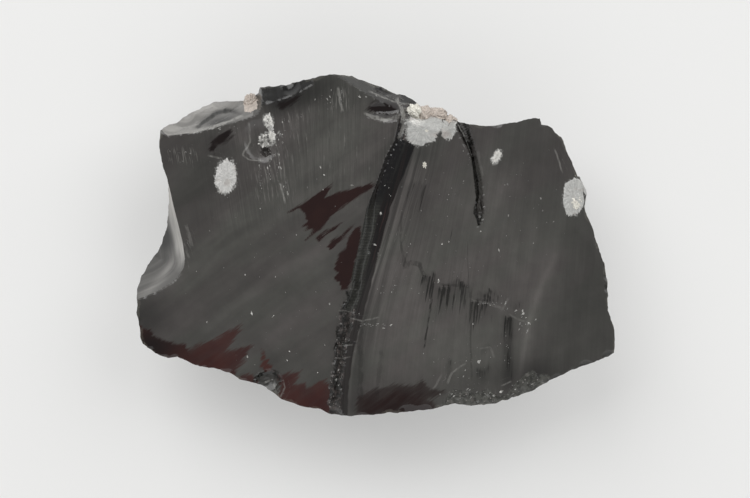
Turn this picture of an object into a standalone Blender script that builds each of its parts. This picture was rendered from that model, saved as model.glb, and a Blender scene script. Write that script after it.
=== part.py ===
"""A palm-sized chunk of black obsidian with cristobalite snowflakes.

The chunk is one piece of volcanic glass lying on its back.  +X runs along its length, +Y towards its
thick upper edge and +Z up from the surface it rests on.  The origin is under the middle of its box.
A blank of the chunk's outline is broken to shape by large curved fractures, as the glass was.
"""

import math
from collections import namedtuple

import bmesh
import bpy
from mathutils import Matrix, Vector

MM = 0.001

# Driving sizes, in millimetres.
BLANK_HEIGHT = 24.0
SLAB_DEPTH = 26.0
FRONT_CELL = 1.9
UNDER_CELL = 2.8
CHUNK_MIDDLE = (0.0, 0.0)

# The outline seen from above, clockwise from the upper left corner.
SHOULDER = [
    (-29.5, 15.8), (-29.2, 16.3), (-28.4, 16.8), (-27.5, 17.0), (-26.8, 17.9), (-24.0, 19.4),
    (-22.2, 20.2), (-18.0, 20.2), (-16.1, 21.1),
]
CREST = [
    (-15.8, 21.8), (-12.2, 22.1), (-8.8, 22.8), (-6.1, 23.3), (-3.1, 23.2), (-1.2, 22.5),
    (0.8, 21.8), (3.1, 20.8), (4.2, 20.7), (5.3, 20.0), (6.3, 19.1),
]
SADDLE = [
    (8.6, 18.7), (10.4, 17.7), (11.5, 16.7), (13.2, 16.4), (15.7, 16.2), (18.3, 16.6),
    (20.5, 17.2), (22.6, 17.4),
]
RIGHT_SIDE = [
    (22.8, 16.5), (23.7, 16.4), (25.5, 14.8), (26.6, 12.3), (27.8, 9.5), (28.1, 9.4), (29.0, 6.8),
    (28.8, 5.3), (30.0, 2.1), (31.1, -1.5), (31.8, -3.1), (32.1, -6.3), (32.1, -8.9), (33.0, -11.4),
    (33.1, -14.9),
]
LOWER_RIGHT = [
    (31.2, -15.8), (27.2, -17.2), (24.1, -18.7), (21.7, -20.1), (18.3, -21.3), (16.4, -21.9),
    (13.3, -22.1), (11.1, -21.8), (7.7, -22.6), (3.5, -23.0),
]
LOWER_LEFT = [
    (-3.1, -23.4), (-5.9, -23.3), (-6.8, -23.0), (-7.8, -22.5), (-9.9, -22.3), (-11.0, -21.8),
    (-12.8, -21.2), (-15.0, -19.7), (-16.7, -19.0), (-18.6, -18.5), (-19.8, -17.8), (-21.6, -17.1),
    (-24.1, -16.8), (-27.2, -15.5), (-28.5, -15.6), (-30.3, -15.0),
]
LEFT_SIDE = [
    (-32.0, -13.6), (-32.5, -12.5), (-32.5, -11.3), (-32.9, -9.3), (-32.8, -7.6), (-33.0, -6.1),
    (-32.6, -4.2), (-31.6, -2.2), (-30.1, -0.3), (-28.9, 2.6), (-28.4, 6.5), (-28.5, 9.0),
    (-28.9, 10.0), (-29.3, 11.8), (-29.6, 13.4),
]
OUTLINE = SHOULDER + CREST + SADDLE + RIGHT_SIDE + LOWER_RIGHT + LOWER_LEFT + LEFT_SIDE

# A fracture is a shallow bowl: a point on it, the compass direction that it faces (0 is +X, 90 is +Y),
# its lean from facing straight up (90 is a wall, over 90 an underside), the radius of its hollow, how
# far it reaches each way, and the height and spacing of its ripples.
Fracture = namedtuple("Fracture", "x y z compass lean hollow reach ripple spacing")

RIGHT_FACE = Fracture(15.0, -1.0, 17.7, -60.0, 7.0, 260.0, 40.0, 0.04, 9.0)
LEFT_FACE = Fracture(-14.0, -1.0, 16.2, 215.0, 5.0, 260.0, 46.0, 0.04, 10.0)
FACETS = {
    "upper_left_facet": Fracture(-22.5, 18.0, 14.0, 106.0, 57.0, 26.0, 11.0, 0.08, 3.5),
    "crest_left_facet": Fracture(-14.2, 20.6, 17.3, 112.0, 34.0, 20.0, 6.0, 0.05, 3.0),
    "crest_bevel": Fracture(0.3, 21.3, 17.7, 63.0, 54.0, 60.0, 11.0, 0.0, 3.0),
    "lower_left_facet": Fracture(-29.6, -11.5, 15.6, 190.0, 12.0, 60.0, 9.0, 0.03, 3.0),
    "right_shoulder": Fracture(29.0, -1.0, 17.4, 8.0, 7.0, 120.0, 20.0, 0.03, 5.0),
}

# Undersides break in from the rim.  Their z is how far below the front they leave the rim.
UNDERSIDE = {
    "under_crest": Fracture(-5.0, 22.8, -5.2, 90.0, 117.0, 45.0, 26.0, 0.12, 6.0),
    "under_shoulder": Fracture(-24.0, 19.0, -0.8, 122.0, 127.0, 38.0, 22.0, 0.10, 5.0),
    "under_left": Fracture(-29.0, 4.0, -3.2, 176.0, 124.0, 50.0, 24.0, 0.10, 5.0),
    "under_corner": Fracture(-31.8, -12.5, -4.2, 208.0, 128.0, 44.0, 22.0, 0.12, 5.5),
    "under_foot": Fracture(-16.0, -19.4, -0.7, 250.0, 131.0, 55.0, 24.0, 0.10, 6.0),
    "under_keel": Fracture(3.0, -23.0, -0.7, 272.0, 134.0, 42.0, 24.0, 0.12, 5.0),
    "under_heel": Fracture(23.0, -19.4, -1.2, 301.0, 127.0, 60.0, 24.0, 0.10, 6.0),
    "under_right": Fracture(32.0, -7.0, -2.2, 2.0, 119.0, 52.0, 24.0, 0.12, 5.5),
    "under_right_top": Fracture(26.5, 12.5, -2.8, 34.0, 112.0, 48.0, 22.0, 0.10, 5.0),
    "under_saddle": Fracture(14.5, 16.3, -3.0, 86.0, 109.0, 18.0, 14.0, 0.08, 4.0),
}
BELLIES = {
    "belly_left": Fracture(-16.0, -3.0, 2.4, 196.0, 162.0, 46.0, 26.0, 0.06, 7.0),
    "belly_right": Fracture(20.0, -4.0, 2.0, 340.0, 163.0, 50.0, 26.0, 0.06, 7.0),
    "belly_top": Fracture(2.0, 13.0, 2.6, 86.0, 152.0, 40.0, 20.0, 0.06, 5.0),
}

# The left face ends at a riser, the dark band that crosses the chunk from its neck to its lower edge.
BAND_TOP = (3.2, 15.0)
BAND_FOOT = (-5.9, -21.0)
BAND_LEAN = 31.0
BAND_SIZE = (120.0, 120.0, 60.0)

# The hollow side scar on the left: centre and radius of its ball.
SIDE_SCAR_CENTRE = (-40.0, 0.5, 19.1)
SIDE_SCAR_RADIUS = 14.2

# Shallow hollows struck in the front: place, how deep, radii along and across, turn.
HOLLOWS = {
    "wedge_cavity": ((1.3, 18.6), 0.7, (2.0, 0.7), -4.0),
    "crescent": ((1.3, 17.1), 0.35, (2.2, 0.6), -4.0),
    "neck_hollow": ((4.1, 16.6), 0.8, (0.6, 2.4), -14.0),
    "flake_scar": ((-15.6, 14.3), 0.45, (2.3, 2.9), 12.0),
    "black_hole": ((-14.9, 12.8), 0.9, (0.6, 0.6), 0.0),
    "upper_left_lobe": ((-22.6, 17.6), 0.8, (3.2, 1.5), 22.0),
    "round_chip": ((-14.6, -18.7), 0.7, (1.9, 1.5), 30.0),
}
HOLLOW_EGG_HEIGHT = 2.5

# Stepped notches down the left side of the band: place along it (0 is its top), length, width.
BAND_NOTCHES = [
    (0.560, 1.3, 0.9), (0.640, 0.8, 0.7), (0.672, 0.9, 0.8), (0.712, 1.2, 1.0), (0.780, 1.8, 0.7),
    (0.850, 1.6, 1.0), (0.920, 1.2, 1.3), (0.962, 1.8, 1.6),
]
NOTCH_HEIGHT = 1.6
NOTCH_BITE = 0.35
NOTCH_LEAN = 12.0
NOTCH_TURNS = (-14.0, -5.0, 4.0)
NOTCH_SHIFT = 0.1

# The forked crack in the right face: two arms, as (x, y, width).
CRACK_LEFT_ARM = [(10.7, 17.5, 0.4), (11.5, 16.0, 0.7), (12.9, 13.3, 0.7), (13.6, 11.6, 0.4)]
CRACK_RIGHT_ARM = [
    (11.6, 17.1, 0.5), (12.4, 15.6, 0.5), (13.4, 12.4, 0.7), (14.0, 9.6, 0.8), (14.3, 6.7, 0.7),
    (14.4, 4.6, 0.8), (14.3, 2.6, 0.3),
]
CRACK_SLENDERNESS = 1.2
CRACK_PROUD = 0.3

# Snowflakes that stand proud on the edges: place, how much of their height is sunk, radii.
SNOWFLAKE_LUMPS = {
    "edge_snowflake": ((-17.0, 19.6), 0.9, (1.1, 1.5, 1.6)),
    "cream_disc": ((5.6, 18.1), 0.6, (1.2, 1.2, 0.9)),
    "neck_snowflake": ((6.3, 15.9), 0.72, (3.1, 3.0, 0.9)),
    "neck_snowflake_right": ((8.1, 16.7), 0.7, (2.1, 1.9, 0.9)),
    "neck_snowflake_far": ((9.6, 16.0), 0.68, (1.3, 1.5, 0.8)),
    "side_snowflake": ((27.6, 6.5), 0.55, (2.0, 3.3, 1.0)),
}

# Nibbled chips along a stretch of the rim: the stretch, the chips' radius, and how far out they sit.
EDGE_CHIPS = {
    "lower_left_chip": (LOWER_LEFT, 0.95, 0.45),
    "lower_right_chip": (LOWER_RIGHT, 0.95, 0.45),
    "right_side_chip": (RIGHT_SIDE, 0.80, 0.50),
}
CHIP_SHARES = (0.70, 1.00, 1.30, 0.85, 1.15)
CHIP_LIFT = 0.35


def clear_scene():
    """Remove every object that the file starts with."""
    for old in list(bpy.data.objects):
        bpy.data.objects.remove(old, do_unlink=True)


def add_object(name, bm, material=None):
    """Put the bmesh in a named object whose faces point outwards."""
    bmesh.ops.recalc_face_normals(bm, faces=bm.faces[:])
    mesh = bpy.data.meshes.new(name)
    bm.to_mesh(mesh)
    bm.free()
    made = bpy.data.objects.new(name, mesh)
    bpy.context.scene.collection.objects.link(made)
    if material:
        mesh.materials.append(material)
    return made


def as_cutter(made):
    """Mark an object as a tool that is not part of the chunk."""
    made.hide_render = True
    made.display_type = 'WIRE'
    return made


def facing_matrix(at, compass, lean):
    """The frame at a point whose +Z looks along the compass direction, leaned from straight up."""
    turn = Matrix.Rotation(math.radians(compass), 4, 'Z') @ Matrix.Rotation(math.radians(lean), 4, 'Y')
    return Matrix.Translation(Vector(at) * MM) @ turn


def height_on(fracture, x, y):
    """Height of a front fracture's plain bowl above a point of the plan."""
    compass = math.radians(fracture.compass)
    east, north = x - fracture.x, y - fracture.y
    downhill = east * math.cos(compass) + north * math.sin(compass)
    bowl = (east * east + north * north) / (2.0 * fracture.hollow)
    return fracture.z - math.tan(math.radians(fracture.lean)) * downhill + bowl


def band_direction():
    """The unit direction down the band, in the plan."""
    return Vector((BAND_FOOT[0] - BAND_TOP[0], BAND_FOOT[1] - BAND_TOP[1])).normalized()


def front_height(x, y):
    """Height of the front above a point of the plan: the lowest of the fractures there."""
    along = band_direction()
    right_of_band = (x - BAND_TOP[0]) * -along.y + (y - BAND_TOP[1]) * along.x
    heights = [height_on(RIGHT_FACE, x, y)]
    if right_of_band < 0.0:
        heights.append(height_on(LEFT_FACE, x, y))
    for facet in FACETS.values():
        if math.hypot(x - facet.x, y - facet.y) < facet.reach:
            heights.append(height_on(facet, x, y))
    from_scar = math.hypot(x - SIDE_SCAR_CENTRE[0], y - SIDE_SCAR_CENTRE[1])
    if from_scar < SIDE_SCAR_RADIUS:
        heights.append(SIDE_SCAR_CENTRE[2] - math.sqrt(SIDE_SCAR_RADIUS ** 2 - from_scar ** 2))
    return min(heights)


def fracture_cutter(name, fracture, cell):
    """A slab whose lower face is the fracture: a grid raised to a bowl, with rings from one side."""
    bm = bmesh.new()
    count = round(2.0 * fracture.reach / cell)
    bmesh.ops.create_grid(bm, x_segments=count, y_segments=count, size=fracture.reach * MM)
    for vert in bm.verts:
        x, y = vert.co.x / MM, vert.co.y / MM
        from_impact = math.hypot(x + fracture.reach, y - fracture.reach / 2.0)
        ring = fracture.ripple * math.cos(2.0 * math.pi * from_impact / fracture.spacing)
        vert.co.z = ((x * x + y * y) / (2.0 * fracture.hollow) + ring) * MM
    lifted = bmesh.ops.extrude_face_region(bm, geom=bm.faces[:])
    for part in lifted["geom"]:
        if isinstance(part, bmesh.types.BMVert):
            part.co.z = SLAB_DEPTH * MM
    cutter = as_cutter(add_object(name, bm))
    cutter.matrix_world = facing_matrix(fracture[:3], fracture.compass, fracture.lean)
    return cutter


def riser_matrix():
    """The frame of the band's riser: a plane on the band's line along the left face, leaned to face left."""
    top = Vector((*BAND_TOP, height_on(LEFT_FACE, *BAND_TOP)))
    foot = Vector((*BAND_FOOT, height_on(LEFT_FACE, *BAND_FOOT)))
    along = (foot - top).normalized()
    left = Vector((along.y, -along.x, 0.0)).normalized()
    upright = left.cross(along)
    if upright.z < 0.0:
        upright.negate()
    lean = math.radians(BAND_LEAN)
    facing = left * math.sin(lean) + upright * math.cos(lean)
    turn = Matrix((along.cross(facing), along, facing)).transposed()
    return Matrix.Translation((top + foot) / 2.0 * MM) @ turn.to_4x4()


def left_face_cutter():
    """The left face's slab, with the band's riser as its right-hand side."""
    slab = fracture_cutter("left_face", LEFT_FACE, FRONT_CELL)
    bm = bmesh.new()
    bmesh.ops.create_cube(bm, size=MM)
    bmesh.ops.scale(bm, verts=bm.verts, vec=Vector(BAND_SIZE))
    bmesh.ops.translate(bm, verts=bm.verts, vec=Vector((0.0, 0.0, BAND_SIZE[2] / 2.0)) * MM)
    side = as_cutter(add_object("band_riser", bm))
    side.matrix_world = riser_matrix()
    trim = slab.modifiers.new("left_of_band", 'BOOLEAN')
    trim.operation = 'INTERSECT'
    trim.object = side
    return slab


def ball_cutter(name, centre, radii, turn=0.0, rings=3):
    """A ball or egg, turned about the vertical."""
    bm = bmesh.new()
    bmesh.ops.create_icosphere(bm, subdivisions=rings, radius=MM)
    bmesh.ops.scale(bm, verts=bm.verts, vec=Vector(radii))
    ball = as_cutter(add_object(name, bm))
    turned = Matrix.Rotation(math.radians(turn), 4, 'Z')
    ball.matrix_world = Matrix.Translation(Vector(centre) * MM) @ turned
    return ball


def hollow_cutter(name, place, depth, radii, turn):
    """An egg that dips its lower side into the front by the hollow's depth and has its size there."""
    tall = HOLLOW_EGG_HEIGHT * depth
    widen = 1.0 / math.sqrt(1.0 - ((tall - depth) / tall) ** 2)
    centre = (*place, front_height(*place) + tall - depth)
    return ball_cutter(name, centre, (radii[0] * widen, radii[1] * widen, tall), turn)


def groove_cutter(name, path):
    """A blade with a sharp lower edge along a path: a four-cornered section carried point to point."""
    bm = bmesh.new()
    loops = []
    for index, (x, y, width) in enumerate(path):
        before = Vector(path[max(index - 1, 0)][:2])
        after = Vector(path[min(index + 1, len(path) - 1)][:2])
        across = (after - before).normalized().orthogonal() * width / 2.0
        here = Vector((x, y))
        face = height_on(RIGHT_FACE, x, y)
        floor = face - CRACK_SLENDERNESS * width
        section = [
            (here + across, face + CRACK_PROUD), (here, floor),
            (here - across, face + CRACK_PROUD), (here, BLANK_HEIGHT + 1.0),
        ]
        loops.append([bm.verts.new((spot.x * MM, spot.y * MM, z * MM)) for spot, z in section])
    for first, second in zip(loops, loops[1:]):
        for corner in range(4):
            following = (corner + 1) % 4
            bm.faces.new((first[corner], first[following], second[following], second[corner]))
    bm.faces.new(loops[0])
    bm.faces.new(loops[-1])
    return as_cutter(add_object(name, bm))


def band_notch_cutter(index, place, length, width):
    """A stepped bite out of the band's left side."""
    spot = Vector(BAND_TOP).lerp(Vector(BAND_FOOT), place)
    bm = bmesh.new()
    bmesh.ops.create_cube(bm, size=MM)
    bmesh.ops.scale(bm, verts=bm.verts, vec=Vector((width, length, NOTCH_HEIGHT)))
    notch = as_cutter(add_object(f"band_notch_{index}", bm))
    level = height_on(LEFT_FACE, *spot) + NOTCH_HEIGHT / 2.0 - NOTCH_BITE
    at = (spot.x + NOTCH_SHIFT, spot.y, level)
    turn = Matrix.Rotation(math.radians(NOTCH_TURNS[index % len(NOTCH_TURNS)]), 4, 'Z')
    lean = Matrix.Rotation(math.radians(NOTCH_LEAN), 4, 'Y')
    notch.matrix_world = Matrix.Translation(Vector(at) * MM) @ turn @ lean
    return notch


def edge_chip_cutters(name, stretch, radius, offset):
    """Small round bites, one just outside each second point of a stretch of the rim."""
    chips = []
    for index, (x, y) in enumerate(stretch[1:-1:2]):
        size = radius * CHIP_SHARES[index % len(CHIP_SHARES)]
        outwards = (Vector((x, y)) - Vector(CHUNK_MIDDLE)).normalized() * (offset + size / 2.0)
        centre = (x + outwards.x, y + outwards.y, front_height(x, y) + CHIP_LIFT * size)
        chips.append(ball_cutter(f"{name}_{index}", centre, (size, size, size), rings=2))
    return chips


def blank(material):
    """The outline carried straight up from the resting face."""
    bm = bmesh.new()
    base = bm.faces.new([bm.verts.new((x * MM, y * MM, 0.0)) for x, y in OUTLINE])
    raised = bmesh.ops.extrude_face_region(bm, geom=[base])
    for part in raised["geom"]:
        if isinstance(part, bmesh.types.BMVert):
            part.co.z = BLANK_HEIGHT * MM
    return add_object("obsidian_chunk", bm, material)


def obsidian_glass():
    """Black volcanic glass."""
    material = bpy.data.materials.new("obsidian_glass")
    material.use_nodes = True
    shader = material.node_tree.nodes["Principled BSDF"]
    shader.inputs["Base Color"].default_value = (0.022, 0.019, 0.018, 1.0)
    shader.inputs["Roughness"].default_value = 0.16
    shader.inputs["Metallic"].default_value = 0.0
    return material


def apply_cut(stone, cutter, operation='DIFFERENCE'):
    """Take a cutter from the stone, or fuse a lump to it."""
    step = stone.modifiers.new(cutter.name, 'BOOLEAN')
    step.operation = operation
    step.object = cutter
    step.solver = 'EXACT'


def build():
    """Break the blank to shape, fuse the snowflakes, then cut the fine bites."""
    clear_scene()
    stone = blank(obsidian_glass())
    apply_cut(stone, fracture_cutter("right_face", RIGHT_FACE, FRONT_CELL))
    apply_cut(stone, left_face_cutter())
    for name, facet in FACETS.items():
        apply_cut(stone, fracture_cutter(name, facet, FRONT_CELL))
    ball = (SIDE_SCAR_RADIUS,) * 3
    apply_cut(stone, ball_cutter("side_scar", SIDE_SCAR_CENTRE, ball, rings=5))
    for name, under in UNDERSIDE.items():
        from_rim = under._replace(z=front_height(under.x, under.y) + under.z)
        apply_cut(stone, fracture_cutter(name, from_rim, UNDER_CELL))
    for name, belly in BELLIES.items():
        apply_cut(stone, fracture_cutter(name, belly, UNDER_CELL))
    for name, (place, sunk, radii) in SNOWFLAKE_LUMPS.items():
        centre = (*place, front_height(*place) - sunk * radii[2])
        apply_cut(stone, ball_cutter(name, centre, radii), 'UNION')
    for name, hollow in HOLLOWS.items():
        apply_cut(stone, hollow_cutter(name, *hollow))
    apply_cut(stone, groove_cutter("crack_left_arm", CRACK_LEFT_ARM))
    apply_cut(stone, groove_cutter("crack_right_arm", CRACK_RIGHT_ARM))
    for index, notch in enumerate(BAND_NOTCHES):
        apply_cut(stone, band_notch_cutter(index, *notch))
    for name, chips in EDGE_CHIPS.items():
        for chip in edge_chip_cutters(name, *chips):
            apply_cut(stone, chip)


build()
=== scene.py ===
import math

import bpy
import mathutils
import numpy as np
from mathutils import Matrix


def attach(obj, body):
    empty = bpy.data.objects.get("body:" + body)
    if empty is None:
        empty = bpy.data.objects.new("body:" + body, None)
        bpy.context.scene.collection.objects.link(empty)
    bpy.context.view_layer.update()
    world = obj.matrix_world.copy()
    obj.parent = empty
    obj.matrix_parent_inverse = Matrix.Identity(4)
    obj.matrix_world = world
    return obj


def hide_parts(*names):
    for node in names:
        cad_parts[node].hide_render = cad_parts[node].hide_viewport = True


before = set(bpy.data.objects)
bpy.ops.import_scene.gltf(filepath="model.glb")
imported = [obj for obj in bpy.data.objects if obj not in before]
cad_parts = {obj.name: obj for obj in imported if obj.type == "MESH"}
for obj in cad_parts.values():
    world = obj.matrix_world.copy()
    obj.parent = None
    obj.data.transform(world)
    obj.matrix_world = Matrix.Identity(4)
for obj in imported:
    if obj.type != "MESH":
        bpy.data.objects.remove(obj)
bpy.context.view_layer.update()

# ---------------------------------------------------------------------------------------------------
# The chunk's outline and its fractures.
# Obsidian is glass, so it breaks along smooth shallow bowls.  A few great fractures made this chunk's
# faces, smaller ones its bevels and side scars, and blows on the rim left the chips.
# ---------------------------------------------------------------------------------------------------
# Shapes are in millimetres, which MM turns into metres.  FAR is farther than anything.
MM = 0.001
FAR = 1e9

SHOULDER = [
    (-29.5, 15.8), (-29.2, 16.3), (-28.4, 16.8), (-27.5, 17.0), (-26.8, 17.9), (-24.0, 19.4),
    (-22.2, 20.2), (-18.0, 20.2), (-16.1, 21.1),
]
CREST = [
    (-15.8, 21.8), (-12.2, 22.1), (-8.8, 22.8), (-6.1, 23.3), (-3.1, 23.2), (-1.2, 22.5),
    (0.8, 21.8), (3.1, 20.8), (4.2, 20.7), (5.3, 20.0), (6.3, 19.1),
]
SADDLE = [
    (8.6, 18.7), (10.4, 17.7), (11.5, 16.7), (13.2, 16.4), (15.7, 16.2), (18.3, 16.6),
    (20.5, 17.2), (22.6, 17.4),
]
RIGHT_SIDE = [
    (22.8, 16.5), (23.7, 16.4), (25.5, 14.8), (26.6, 12.3), (27.8, 9.5), (28.1, 9.4), (29.0, 6.8),
    (28.8, 5.3), (30.0, 2.1), (31.1, -1.5), (31.8, -3.1), (32.1, -6.3), (32.1, -8.9), (33.0, -11.4),
    (33.1, -14.9),
]
LOWER_RIGHT = [
    (31.2, -15.8), (27.2, -17.2), (24.1, -18.7), (21.7, -20.1), (18.3, -21.3), (16.4, -21.9),
    (13.3, -22.1), (11.1, -21.8), (7.7, -22.6), (3.5, -23.0),
]
LOWER_LEFT = [
    (-3.1, -23.4), (-5.9, -23.3), (-6.8, -23.0), (-7.8, -22.5), (-9.9, -22.3), (-11.0, -21.8),
    (-12.8, -21.2), (-15.0, -19.7), (-16.7, -19.0), (-18.6, -18.5), (-19.8, -17.8), (-21.6, -17.1),
    (-24.1, -16.8), (-27.2, -15.5), (-28.5, -15.6), (-30.3, -15.0),
]
LEFT_SIDE = [
    (-32.0, -13.6), (-32.5, -12.5), (-32.5, -11.3), (-32.9, -9.3), (-32.8, -7.6), (-33.0, -6.1),
    (-32.6, -4.2), (-31.6, -2.2), (-30.1, -0.3), (-28.9, 2.6), (-28.4, 6.5), (-28.5, 9.0),
    (-28.9, 10.0), (-29.3, 11.8), (-29.6, 13.4),
]
OUTLINE = np.array(SHOULDER + CREST + SADDLE + RIGHT_SIDE + LOWER_RIGHT + LOWER_LEFT + LEFT_SIDE)

# A fracture: x, y, z of a point on it, the compass direction that it faces, its lean from facing
# straight up, the radius of its hollow, and the height and spacing of its ripples.
RIGHT_FACE = (15.0, -1.0, 17.7, -60.0, 7.0, 260.0, 0.012, 5.0)
LEFT_FACE = (-14.0, -1.0, 16.2, 215.0, 5.0, 260.0, 0.012, 6.0)
UPPER_LEFT_FACET = (-22.5, 18.0, 14.0, 106.0, 57.0, 26.0, 0.05, 1.6)
CREST_LEFT_FACET = (-14.2, 20.6, 17.3, 112.0, 34.0, 20.0, 0.010, 1.5)
CREST_BEVEL = (0.3, 21.3, 17.7, 63.0, 54.0, 60.0, 0.03, 1.8)
LOWER_LEFT_FACET = (-29.6, -11.5, 15.6, 190.0, 12.0, 60.0, 0.01, 2.0)
RIGHT_SHOULDER = (29.0, -1.0, 17.4, 8.0, 7.0, 120.0, 0.010, 3.0)
FACET_REACH = {
    UPPER_LEFT_FACET: 6.6, CREST_LEFT_FACET: 6.0, CREST_BEVEL: 11.0, LOWER_LEFT_FACET: 9.0,
    RIGHT_SHOULDER: 20.0,
}
FACET_END = 3.0

# Undersides, which break in from the rim, and the bellies beside the flat facet that it rests on.
# For these the z is how far below the front they leave the rim, but for the bellies it is a height.
FROM_RIM = {
    "under_crest": (-5.0, 22.8, -5.2, 90.0, 117.0, 45.0, 0.09, 4.0),
    "under_shoulder": (-24.0, 19.0, -0.8, 122.0, 127.0, 38.0, 0.08, 3.2),
    "under_left": (-29.0, 4.0, -3.2, 176.0, 124.0, 50.0, 0.08, 3.5),
    "under_corner": (-31.8, -12.5, -4.2, 208.0, 128.0, 44.0, 0.08, 3.0),
    "under_foot": (-16.0, -19.4, -0.7, 250.0, 131.0, 55.0, 0.08, 4.2),
    "under_keel": (3.0, -23.0, -0.7, 272.0, 134.0, 42.0, 0.09, 3.6),
    "under_heel": (23.0, -19.4, -1.2, 301.0, 127.0, 60.0, 0.08, 4.0),
    "under_right": (32.0, -7.0, -2.2, 2.0, 119.0, 52.0, 0.09, 3.4),
    "under_right_top": (26.5, 12.5, -2.8, 34.0, 112.0, 48.0, 0.08, 3.2),
    "under_saddle": (14.5, 16.3, -3.0, 86.0, 109.0, 18.0, 0.07, 2.6),
}
BELLIES = [
    (-16.0, -3.0, 2.4, 196.0, 162.0, 46.0, 0.05, 4.5),
    (20.0, -4.0, 2.0, 340.0, 163.0, 50.0, 0.05, 4.5),
    (2.0, 13.0, 2.6, 86.0, 152.0, 40.0, 0.05, 3.6),
]

# The band: a riser that crosses the chunk, where the left face's fracture stopped.  Its two edges.
BAND_Y = [-24.0, -20.0, -17.5, -14.6, -12.2, -9.5, -8.0, -6.6, -2.9, 1.1, 5.0, 9.0, 11.9, 14.1, 18.0,
          22.0]
BAND_LEFT = [-6.2, -6.1, -5.6, -5.4, -4.9, -4.6, -4.2, -3.4, -2.8, -1.9, -1.1, 0.45, 1.45, 2.65, 3.5, 3.7]
BAND_RIGHT = [-3.7, -3.6, -3.3, -2.9, -2.3, -1.5, -1.2, -0.8, 0.1, 1.1, 2.1, 3.7, 4.9, 5.6, 5.8, 5.8]

# The side scar: its inner edge on the face, closed by corners well outside the chunk, and how steeply it
# drops from that edge and the radius of its hollow.
SCAR_EDGE = [
    (-45.0, 12.5), (-28.55, 9.4), (-28.1, 7.6), (-27.6, 5.3), (-27.0, 2.9), (-26.4, 0.4), (-26.1, -1.8),
    (-26.2, -3.0), (-26.9, -4.3), (-28.0, -5.3), (-29.6, -6.3), (-32.5, -7.5), (-45.0, -11.0),
]
SCAR_SLOPE, SCAR_HOLLOW = 1.45, 11.5

# Hollows struck in the front: x, y, depth, radii along and across, turn.
HOLLOWS = [
    (1.3, 18.6, 0.18, 2.0, 0.7, -4.0),
    (1.3, 17.3, 0.25, 2.3, 0.5, -4.0),
    (4.1, 16.6, 0.8, 0.6, 2.4, -14.0),
    (-15.6, 14.3, 0.45, 2.3, 2.9, 12.0),
    (-14.9, 12.8, 0.9, 0.6, 0.6, 0.0),
    (-22.6, 17.6, 0.8, 3.2, 1.5, 22.0),
    (-14.6, -18.7, 0.7, 1.9, 1.5, 30.0),
]

# The forked crack: its arms as x, y, width.
CRACK_ARMS = [
    [(10.7, 17.5, 0.4), (11.5, 16.0, 0.7), (12.9, 13.3, 0.7), (13.6, 11.6, 0.4)],
    [(11.6, 17.1, 0.5), (12.4, 15.6, 0.5), (13.4, 12.4, 0.7), (14.0, 9.6, 0.8), (14.3, 6.7, 0.7),
     (14.4, 4.6, 0.8), (14.3, 2.6, 0.3)],
]
CRACK_SLENDERNESS = 0.9

# How far uphill of a fracture's point, and how far aside, the blow fell that its ripples spread from.
FRONT_BLOW = (22.0, 9.0)
UNDER_BLOW = (14.0, 5.0)

# The middle that every line and ray starts from, and how finely the skin is divided.
MIDDLE = np.array([-0.5, -1.0, 9.0])
RIM_STEP = 0.33
FRONT_ROWS = 104
SIDE_ROWS = 34
BASE_ROWS = 14
FOOT_SHARE = 0.62


def waves(x, y, pitch, seed):
    """Soft unevenness of about -1 to 1: nine sine waves of about one pitch, run in seeded directions."""
    nine_together = 4.2
    draw = np.random.default_rng(seed)
    total = np.zeros_like(x)
    for heading, stretch, start in zip(draw.uniform(0, 2 * np.pi, 9), draw.uniform(0.6, 1.7, 9),
                                       draw.uniform(0, 2 * np.pi, 9)):
        along = x * np.cos(heading) + y * np.sin(heading)
        total += np.sin(2 * np.pi * along / (pitch * stretch) + start)
    return total / nine_together


def along_and_across(x, y, at_x, at_y, degrees):
    """Distances from a place along a compass direction, and across it to its left."""
    angle = math.radians(degrees)
    along = (x - at_x) * math.cos(angle) + (y - at_y) * math.sin(angle)
    across = (y - at_y) * math.cos(angle) - (x - at_x) * math.sin(angle)
    return along, across


def bowl_height(fracture, x, y):
    """Height of a fracture above the plan: a leaned plane, plus distance squared over twice the hollow's
    radius, plus rings that spread from a point uphill of the face."""
    at_x, at_y, at_z, compass, lean, hollow, ripple, spacing = fracture
    downhill, level = along_and_across(x, y, at_x, at_y, compass)
    bowl = ((x - at_x) ** 2 + (y - at_y) ** 2) / (2.0 * hollow)
    from_blow = np.hypot(downhill + FRONT_BLOW[0], FRONT_BLOW[1] - level)
    ring = ripple * np.cos(2 * np.pi * from_blow / spacing)
    return at_z - math.tan(math.radians(lean)) * downhill + bowl + ring


def band_place(x, y):
    """Where a point lies across the band: 0 at its left edge, 1 at its right, then 1 a millimetre."""
    jag = 0.10 * np.sign(waves(0 * y, y, 1.7, 5)) * np.clip((2.0 - y) / 6.0, 0, 1)
    left = np.interp(y, BAND_Y, BAND_LEFT) + jag
    right = np.interp(y, BAND_Y, BAND_RIGHT) + 0.05 * waves(x, y, 2.1, 6)
    inside = (x - left) / (right - left)
    return np.where(x < left, x - left, np.where(x < right, inside, 1.0 + x - right))


def nearest_on_side(x, y, start, end):
    """The share along a side where it is nearest, and the distance to it there."""
    run_x, run_y = end[0] - start[0], end[1] - start[1]
    share = ((x - start[0]) * run_x + (y - start[1]) * run_y) / (run_x ** 2 + run_y ** 2)
    share = np.clip(share, 0.0, 1.0)
    return share, np.hypot(x - start[0] - share * run_x, y - start[1] - share * run_y)


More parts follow.
